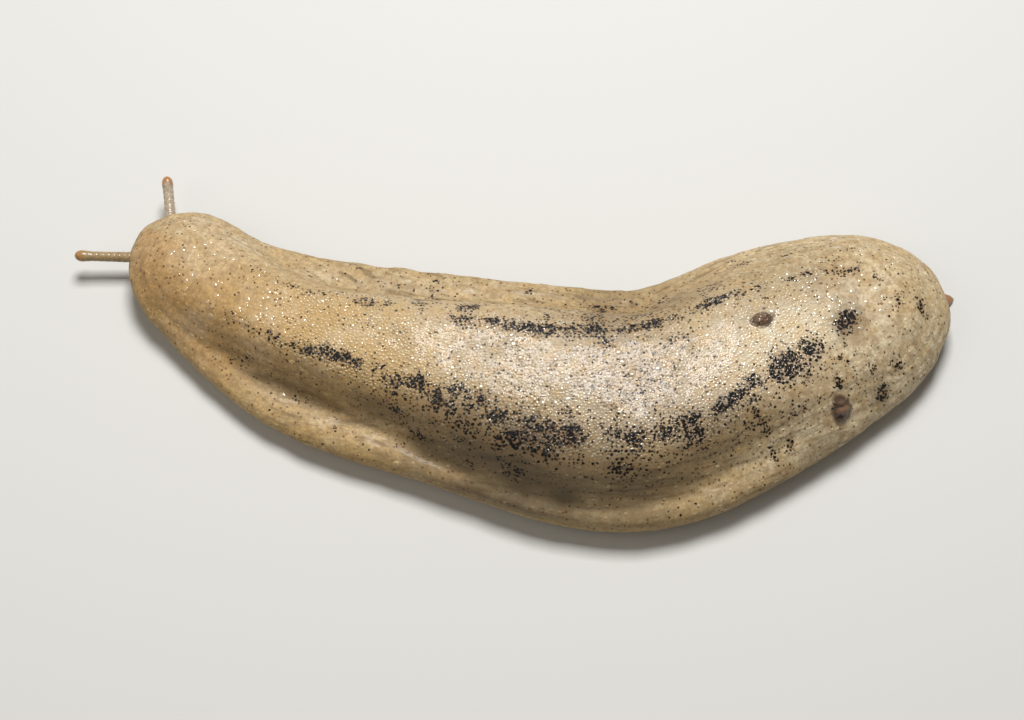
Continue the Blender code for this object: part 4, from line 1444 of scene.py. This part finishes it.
@dataclass(frozen=True)
class SoftFleshFinish:
    """Wet, bare flesh of the head, the tentacles and the foot, slightly clear.

    The eye sees a soft, deep colour with a thin film of slime and fine wrinkles.

    Attributes:
        name: Name of the material.
        base: Its main colour.
        dark: Colour of blotches, of the painted shade in the furrows, and of the zone "dark".
        washes: Names of other zones, each with its colour.
        clear_mm: How far light goes into the flesh.
    """

    name: str
    base: str
    dark: str
    washes: tuple[tuple[str, str], ...]
    wrinkle_mm: float = 0.25
    mottle_mm: float = 1.2
    bump_mm: float = 0.04
    clear_mm: float = 0.5
    roughness: float = 0.34
    coat_weight: float = 0.5
    subsurface: float = 0.18

    def material(self) -> bpy.types.Material:
        """Builds the material.

        Returns:
            The material, which reads the zones of the skin that it is on.
        """
        material, tree, shader = new_material(self.name)
        place = add_node(tree, "ShaderNodeTexCoord").outputs["Object"]
        mottle = add_node(
            tree, "ShaderNodeTexNoise",
            {"Vector": place, "Scale": scale_of(self.mottle_mm), "Detail": 5.0, "Roughness": 0.65},
        )
        blotch = add_node(
            tree, "ShaderNodeMapRange", {"Value": mottle, "From Min": 0.45, "From Max": 0.8, "To Max": 0.5}
        )
        grain = add_node(
            tree, "ShaderNodeTexVoronoi", {"Vector": place, "Scale": scale_of(self.wrinkle_mm)}
        )
        # Darker in the grooves of the bump: painted shade in the furrows.
        furrow = add_node(
            tree, "ShaderNodeMapRange", {"Value": grain, "From Min": 0.35, "From Max": 0.8, "To Max": 0.4}
        )
        zones = [
            (add_node(tree, "ShaderNodeAttribute", attribute_name=name).outputs["Fac"], over)
            for name, over in (*self.washes, ("dark", self.dark))
        ]
        colour = laid_over(tree, self.base, [*zones, (blotch, self.dark), (furrow, self.dark)])
        tree.links.new(colour, shader.inputs["Base Color"])
        rough = add_node(
            tree, "ShaderNodeMath", {0: mottle, 1: 0.2, 2: self.roughness - 0.1}, operation="MULTIPLY_ADD"
        )
        tree.links.new(rough.outputs[0], shader.inputs["Roughness"])
        bump = add_node(
            tree, "ShaderNodeBump", {"Height": grain, "Strength": 0.35, "Distance": self.bump_mm * MM},
            invert=True,
        )
        tree.links.new(bump.outputs["Normal"], shader.inputs["Normal"])
        shader.inputs["IOR"].default_value = 1.40
        shader.inputs["Subsurface Weight"].default_value = self.subsurface
        shader.inputs["Subsurface Radius"].default_value = (1.0, 0.45, 0.25)
        shader.inputs["Subsurface Scale"].default_value = self.clear_mm * MM
        shader.inputs["Coat Weight"].default_value = self.coat_weight
        shader.inputs["Coat Roughness"].default_value = 0.12
        shader.inputs["Coat IOR"].default_value = 1.36
        return material


@dataclass
class FootSkin:
    """The narrow foot with its flat creeping sole and its pointed, reddish tail."""

    half_widths: Table = (
        (13, 3.3), (20, 4.0), (35, 4.6), (60, 4.7), (78, 4.2), (88, 2.9), (93, 1.3), (94.8, 0.5),
    )
    heights: Table = ((13, 2.6), (60, 2.6), (80, 2.4), (88, 1.6), (94.8, 0.8))
    section: tuple = (
        (0.0, 0.0), (0.90, 0.0), (1.0, 0.16), (0.99, 0.42), (0.92, 0.72), (0.74, 0.92), (0.0, 1.0),
    )
    front: float = 13.0
    nose: float = 1.6
    bluntness: float = 0.96
    tail_tip: float = 94.8
    station_step: float = 0.3
    around: int = 34
    furrow: float = 0.035
    furrow_mm: float = 0.75
    nodes: tuple[str, ...] = ("foot_front", "foot_middle", "foot_rear")

    def build(self) -> None:
        """Lofts, shapes and dresses the foot."""
        stations = np.arange(self.front - self.nose, self.tail_tip + 0.01, self.station_step)
        half = read_evenly(corners_cut(np.array(self.section), 3), self.around)
        ring = np.vstack([half, half[-2:0:-1] * (-1, 1)])
        rings = []
        for station in stations:
            point, along = PLAN.middle(station)
            near_end = max(self.front - station, station - self.tail_tip + self.nose) / self.nose
            blunt = math.sqrt(1 - max(0.0, near_end) ** 2 * self.bluntness)
            wide = float(read_table(self.half_widths, station)) * blunt
            tall = float(read_table(self.heights, station)) * blunt
            rings.append(np.column_stack([point + wide * ring[:, :1] * across_of(along), tall * ring[:, 1]]))
        piece = mesh_object("foot_skin", *tube_through(rings))
        mesh = piece.data
        station = np.repeat(stations, len(ring))
        place, normals = points_of(mesh), vectors_of(mesh, "normal")
        sole = rising(-normals[:, 2], 0.5, 0.4)
        ripple = 0.5 - 0.5 * np.cos(math.tau * station / self.furrow_mm + 1.5 * soft_noise(place, 2.0, 41))
        inward = self.furrow * ripple * (0.35 + 0.65 * sole)
        swell = (1 - sole) * (0.09 * soft_noise(place, 2.5, 42) + 0.04 * soft_noise(place, 1.0, 43))
        moved = place + normals * (swell - inward - 0.02 * (1 - sole))[:, None]
        moved[:, 2] = np.maximum(moved[:, 2], 0.0)
        move_points(mesh, moved)
        write_attribute(mesh, "tip", rising(station, 84, 8))
        write_attribute(mesh, "dark", 0.25 * rising(station, 93.4, 0.8))
        finish = SoftFleshFinish(
            "creeping_foot_flesh", base="CDBB9B", dark="8A6A4C", washes=(("tip", "9E7450"),)
        )
        dress(piece, finish.material(), "foot_skin", *self.nodes)


@dataclass
class Tentacle:
    """One long tentacle: its root, the way it points, and its sizes."""

    side: Side
    heading: float
    lift: float
    length: float
    radius: float
    bulb: float
    origin: tuple[float, float, float] = (-36.8, 10.75, 2.8)
    collar_length: float = 2.4
    gap: float = 0.3
    flare: float = 0.16
    flare_length: float = 1.8
    flare_start: float = -0.8
    bulb_length: float = 1.9
    bulb_blend: float = 0.8
    tip_profile: Table = ((1.15, 0.96), (0.85, 1.04), (0.55, 1.0), (0.28, 0.84), (0.09, 0.52), (0.0, 0.2))
    eye_rise: float = -0.08
    eye_inset: float = 0.16

    def path(self, distances: np.ndarray) -> np.ndarray:
        """Points of the middle of the shaft at distances from its root; negative ones lie in the head.

        Args:
            distances: Distances in millimetres.

        Returns:
            One point for each distance.
        """
        root = np.array(self.origin) + heading_of(self.heading) * (self.collar_length + self.gap)
        reach = self.length - self.gap
        rise = self.lift * np.clip(distances / reach, 0, None) ** 2
        return root + np.outer(distances, heading_of(self.heading)) + np.outer(rise, (0, 0, 1))

    def radii(self, distances: np.ndarray) -> np.ndarray:
        """Radius of the shaft and its bulb at distances from the root.

        Args:
            distances: Distances in millimetres.

        Returns:
            One radius for each distance.
        """
        reach = self.length - self.gap
        flared = np.exp(-np.clip(distances, self.flare_start, None) / self.flare_length)
        shaft = self.radius + self.flare * flared
        back, shares = zip(*reversed(self.tip_profile))
        tip = self.bulb * np.interp(reach - distances, back, shares)
        blend = rising(distances, reach - self.bulb_length, self.bulb_blend)
        return (1 - blend) * shaft + blend * tip

    def eye_centre(self) -> np.ndarray:
        """Middle of the eye at the tip."""
        tip = self.path(np.array([self.length - self.gap]))[0]
        return tip - heading_of(self.heading) * self.eye_inset + np.array([0, 0, self.eye_rise])


TENTACLES = (
    Tentacle(Side.LEFT, heading=179.5, lift=0.3, length=8.0, radius=0.47, bulb=0.55),
    Tentacle(Side.RIGHT, heading=96.5, lift=1.4, length=6.7, radius=0.50, bulb=0.55),
)


@dataclass
class HeadSkin:
    """The head with its mouth, its two ringed upper tentacles and its two forked lower ones."""

    rings: tuple = (
        (2.9, 1.0, 1.2, 2.6), (3.1, 1.9, 0.8, 3.1), (3.7, 2.6, 0.5, 3.5), (4.8, 3.0, 0.3, 3.8),
        (7.0, 3.3, 0.3, 4.0), (10.0, 3.4, 0.3, 3.9), (12.9, 3.2, 0.3, 3.3),
    )
    squareness: float = 0.8
    mouth_z: float = 1.5
    mouth_width: float = 1.9
    lip_radii: tuple[float, float, float] = (0.45, 1.19, 0.95)
    head_sides: int = 48
    tube_sides: int = 28
    ring_step: float = 0.05
    root_depth: float = 2.2
    voxel: float = 0.07
    relax_rounds: int = 4
    plump: float = 0.09
    lower_station: float = 3.3
    lower_side: float = 1.75
    lower_z: float = 1.2
    lower_spread: float = 34.0
    lower_dip: float = 8.0
    lower_length: float = 1.6
    lower_radius: float = 0.45
    lower_root: float = 1.2
    lower_neck: float = 0.3
    lower_rings: int = 14
    lobe_gap: float = 0.24
    lobe_spread: float = 22.0
    lobe_radii: tuple[float, float, float] = (0.46, 0.34, 0.38)
    nodes: tuple[str, ...] = (
        "head", "upper_tentacle_left", "upper_tentacle_right", "lower_tentacle_left", "lower_tentacle_right",
    )

    def block(self) -> tuple[np.ndarray, list]:
        """Points and faces of the head's rounded block.

        Returns:
            The block as a closed tube.
        """
        turns = np.linspace(0, math.tau, self.head_sides, endpoint=False)
        across = np.sign(np.cos(turns)) * np.abs(np.cos(turns)) ** self.squareness
        up = np.sign(np.sin(turns)) * np.abs(np.sin(turns)) ** self.squareness
        points = []
        for station, half, bottom, top in self.rings:
            point, along = PLAN.middle(station)
            plan = point + half * across[:, None] * across_of(along)
            points.append(np.column_stack([plan, (bottom + top) / 2 + (top - bottom) / 2 * up]))
        return tube_through(points)

    def tube(self, path: np.ndarray, radii: np.ndarray) -> tuple[np.ndarray, list]:
        """Points and faces of a round tube along a path.

        Args:
            path: Middle of the tube.
            radii: Its radius at each point of the path.

        Returns:
            The closed tube.
        """
        rings = []
        turns = np.linspace(0, math.tau, self.tube_sides, endpoint=False)
        ways = np.gradient(path, axis=0)
        for centre, way, radius in zip(path, ways, radii):
            way = way / np.linalg.norm(way)
            aside = np.cross(way, (0, 0, 1))
            aside /= np.linalg.norm(aside)
            up = np.cross(aside, way)
            rings.append(centre + radius * (np.outer(np.cos(turns), aside) + np.outer(np.sin(turns), up)))
        return tube_through(rings)

    @staticmethod
    def ball(
        centre: np.ndarray, radii: tuple[float, float, float], ahead: np.ndarray
    ) -> tuple[np.ndarray, list]:
        """Points and faces of an ellipsoid with its first radius along a level direction.

        Args:
            centre: Its middle.
            radii: Radii ahead, aside and up.
            ahead: The level direction.

        Returns:
            The closed ellipsoid.
        """
        shape = bmesh.new()
        bmesh.ops.create_icosphere(shape, subdivisions=3, radius=1.0)
        local = np.array([v.co[:] for v in shape.verts]) * radii
        faces = [[v.index for v in face.verts] for face in shape.faces]
        shape.free()
        basis = np.array([ahead, np.cross((0, 0, 1), ahead), (0, 0, 1)])
        return centre + local @ basis, faces

    def feeler(self, side: Side) -> list[tuple[np.ndarray, list]]:
        """Closed pieces of one short lower tentacle with its two lobes.

        Args:
            side: Side of the animal.

        Returns:
            Points and faces of the shaft and of each lobe.
        """
        point, along = PLAN.middle(self.lower_station)
        plan = point + side.value * self.lower_side * across_of(along)
        heading = math.degrees(math.atan2(-along[1], -along[0])) - side.value * self.lower_spread
        ahead = way_of(heading, -self.lower_dip)
        root = np.array([*plan, self.lower_z])
        distances = np.linspace(-self.lower_root, self.lower_neck + self.lower_length, self.lower_rings)
        radii = self.lower_radius * (0.97 + 0.2 * np.exp(-np.clip(distances, 0, None) / 0.5))
        pieces = [self.tube(root + np.outer(distances, ahead), radii)]
        across = np.cross(heading_of(heading), (0, 0, 1))
        for sign in (-1, 1):
            centre = root + ahead * distances[-1] + across * self.lobe_gap * sign
            pieces.append(self.ball(centre, self.lobe_radii, heading_of(heading - self.lobe_spread * sign)))
        return pieces

    def build(self) -> None:
        """Joins the pieces under one skin, then shapes and dresses it."""
        pieces = [self.block()]
        point, along = PLAN.middle(self.rings[0][0])
        facing = -np.array([*along, 0.0])
        mouth = np.array([*point, self.mouth_z])
        pieces.append(self.ball(mouth, self.lip_radii, facing))
        for tentacle in TENTACLES:
            reach = tentacle.length - tentacle.gap
            distances = np.arange(-self.root_depth, reach + 0.001, self.ring_step)
            pieces.append(self.tube(tentacle.path(distances), tentacle.radii(distances)))
        for side in Side:
            pieces += self.feeler(side)
        points, faces, start = [], [], 0
        for own_points, own_faces in pieces:
            points.append(own_points)
            faces += [[start + k for k in face] for face in own_faces]
            start += len(own_points)
        piece = mesh_object("head_skin", np.vstack(points), faces)
        remesh = piece.modifiers.new("one_skin", "REMESH")
        remesh.mode = "VOXEL"
        remesh.voxel_size = self.voxel * MM
        remesh.use_smooth_shade = True
        relax = piece.modifiers.new("relax", "SMOOTH")
        relax.factor = 0.5
        relax.iterations = self.relax_rounds
        apply_modifiers(piece)
        self.shape(piece.data, mouth, facing)
        washes = (("shaft", "A08A62"), ("pale", "B8A993"), ("bulb", "B07E48"))
        finish = SoftFleshFinish("bare_head_flesh", base="A98B62", dark="6E5236", washes=washes)
        dress(piece, finish.material(), "head_skin", *self.nodes)

    def shape(self, mesh: bpy.types.Mesh, mouth: np.ndarray, facing: np.ndarray) -> None:
        """Cuts the mouth, rings the tentacles and wrinkles the head.

        Args:
            mesh: The head's mesh.
            mouth: Middle of the mouth.
            facing: Level direction that the head faces.
        """
        points, normals = points_of(mesh), vectors_of(mesh, "normal")
        raised = 0.05 * soft_noise(points, 0.9, 51) + 0.03 * soft_noise(points, 0.45, 52)
        zones = {name: np.zeros(len(points)) for name in ("shaft", "pale", "bulb")}
        for tentacle in TENTACLES:
            way = heading_of(tentacle.heading)
            root = tentacle.path(np.array([0.0]))[0]
            far = (points - root) @ way
            middle = tentacle.path(far)
            near = np.linalg.norm(points - middle, axis=1) < 1.0
            here = rising(far, -1.0, 1.2) * near
            rings = np.cos(math.tau * far / 0.62 + 2.4 * soft_noise(points, 1.4, 53))
            rings += 0.5 * np.cos(math.tau * far / 0.27 + 2.0 * soft_noise(points, 0.9, 54))
            fading = falling(far, tentacle.length - 1.0, 1.2)
            raised = raised * (1 - 0.85 * here) + here * (self.plump + 0.011 * rings * fading)
            zones["shaft"] = np.maximum(zones["shaft"], here)
            zones["bulb"] = np.maximum(zones["bulb"], here * rising(far, tentacle.length - 1.6, 0.9))
            if tentacle.side is Side.RIGHT:
                zones["pale"] = here
        offset = points - mouth
        aside = offset @ np.cross((0, 0, 1), facing)
        ahead = offset @ facing
        slit = np.exp(-((offset[:, 2] / 0.14) ** 2)) * falling(np.abs(aside), 0.5 * self.mouth_width, 0.35)
        slit *= rising(ahead, -0.6, 0.4)
        folds = falling(np.linalg.norm(offset, axis=1), 1.6, 0.5) * 0.04 * np.cos(9.0 * aside)
        move_points(mesh, points + normals * (raised + folds - 0.04)[:, None] - np.outer(0.5 * slit, facing))
        # Painted shade in the mouth's slit, which is also pushed in.
        write_attribute(mesh, "dark", np.clip(0.8 * slit, 0, 1))
        for name, share in zones.items():
            write_attribute(mesh, name, share)


@dataclass
class EyeBeads:
    """The two small dark eyes at the tips of the long tentacles."""

    radius: float = 0.25
    cloud_mm: float = 0.12
    retina: str = "0C0907"
    glow: str = "2A1B12"
    lid: str = "8E7048"

    def material(self) -> bpy.types.Material:
        """Clear cornea over a dark retina, seen as a glossy dark bead with a film of skin over its top.

        Returns:
            The material of both eyes.
        """
        material, tree, shader = new_material("glossy_eye_bead")
        place = add_node(tree, "ShaderNodeTexCoord").outputs["Object"]
        cloud = add_node(tree, "ShaderNodeTexNoise", {"Vector": place, "Scale": scale_of(self.cloud_mm)})
        lid = add_node(tree, "ShaderNodeAttribute", attribute_name="lid").outputs["Fac"]
        colour = laid_over(tree, self.retina, [(cloud, self.glow), (lid, self.lid)])
        tree.links.new(colour, shader.inputs["Base Color"])
        shader.inputs["Roughness"].default_value = 0.12
        shader.inputs["IOR"].default_value = 1.38
        shader.inputs["Coat Weight"].default_value = 1.0
        shader.inputs["Coat Roughness"].default_value = 0.03
        return material

    def build(self) -> None:
        """Makes both eyes."""
        material = self.material()
        for tentacle in TENTACLES:
            side = tentacle.side.name.lower()
            centre = tentacle.eye_centre()
            points, faces = HeadSkin.ball(centre, (self.radius,) * 3, heading_of(tentacle.heading))
            bead = mesh_object(f"eye_bead_{side}", points, faces)
            height = (points_of(bead.data) - centre)[:, 2] / self.radius
            write_attribute(bead.data, "lid", 0.9 * rising(height, 0.1, 0.35))
            dress(bead, material, "eye", f"eye_{side}")


@dataclass
class Studio:
    """Pale floor, soft lights and the camera at the photograph's angle."""

    target: tuple[float, float, float] = (-0.4, -1.7, 4.0)
    elevation: float = 67.0
    distance: float = 200.0
    lens: float = 67.5
    nearest: float = 0.01
    floor_half: float = 1500.0

    def floor(self) -> None:
        """Makes the plain pale floor."""
        half = self.floor_half
        corners = np.array([(-half, -half, 0), (half, -half, 0), (half, half, 0), (-half, half, 0)], float)
        made = mesh_object("studio_floor", corners, [[0, 1, 2, 3]], smooth=False)
        # Matt paper, which gives an even, pale ground and takes a soft shadow.
        material, _, shader = new_material("matt_studio_paper")
        shader.inputs["Base Color"].default_value = linear_of("CDCCC7")
        shader.inputs["Roughness"].default_value = 0.9
        made.data.materials.append(material)

    def aim(self, made: bpy.types.Object, way: np.ndarray, away: float) -> None:
        """Puts a light or the camera at a distance from the animal's middle, turned towards it."""
        made.location = (np.array(self.target) + way * away) * MM
        made.rotation_euler = Vector(way).to_track_quat("Z", "Y").to_euler()

    def lamp(
        self, name: str, heading: float, rise: float, away: float, size: float, power: float, tint: str
    ) -> None:
        """Adds a square soft light that points at the middle of the animal.

        Args:
            name: Name of the light.
            heading: Its direction in plan, in degrees from +X.
            rise: Its angle above the floor, in degrees.
            away: Its distance in millimetres.
            size: Side of its square in millimetres.
            power: Its power in watts.
            tint: Its colour as hex.
        """
        light = bpy.data.lights.new(name, "AREA")
        light.size = size * MM
        light.energy = power
        light.color = linear_of(tint)[:3]
        self.aim(add_object(name, light), way_of(heading, rise), away)

    def build(self) -> None:
        """Sets up the floor, the lights and the camera."""
        self.floor()
        self.lamp("key", heading=84, rise=66, away=330, size=115, power=1.32, tint="FDFDFF")
        self.lamp("fill", heading=200, rise=45, away=360, size=260, power=0.20, tint="FFF8EE")
        world = bpy.data.worlds.new("soft_room")
        world.use_nodes = True
        sky = world.node_tree.nodes["Background"]
        sky.inputs["Color"].default_value = linear_of("F1EEE9")
        sky.inputs["Strength"].default_value = 0.20
        bpy.context.scene.world = world
        bpy.context.scene.view_settings.view_transform = "Standard"
        camera = bpy.data.cameras.new("camera")
        camera.lens = self.lens
        camera.clip_start = self.nearest
        made = add_object("camera", camera)
        turn = math.radians(self.elevation)
        self.aim(made, np.array([0, -math.cos(turn), math.sin(turn)]), self.distance)
        bpy.context.scene.camera = made


def main() -> None:
    """Builds the studio and every piece in order, and notes the sizes."""
    logging.basicConfig(level=logging.INFO, format="%(name)s %(message)s")
    Studio().build()
    mantle = MantleSkin()
    skin = mantle.build()
    GranuleCoat(skin).build()
    mantle.finish()
    FootSkin().build()
    HeadSkin().build()
    EyeBeads().build()


if __name__ == "__main__":
    main()
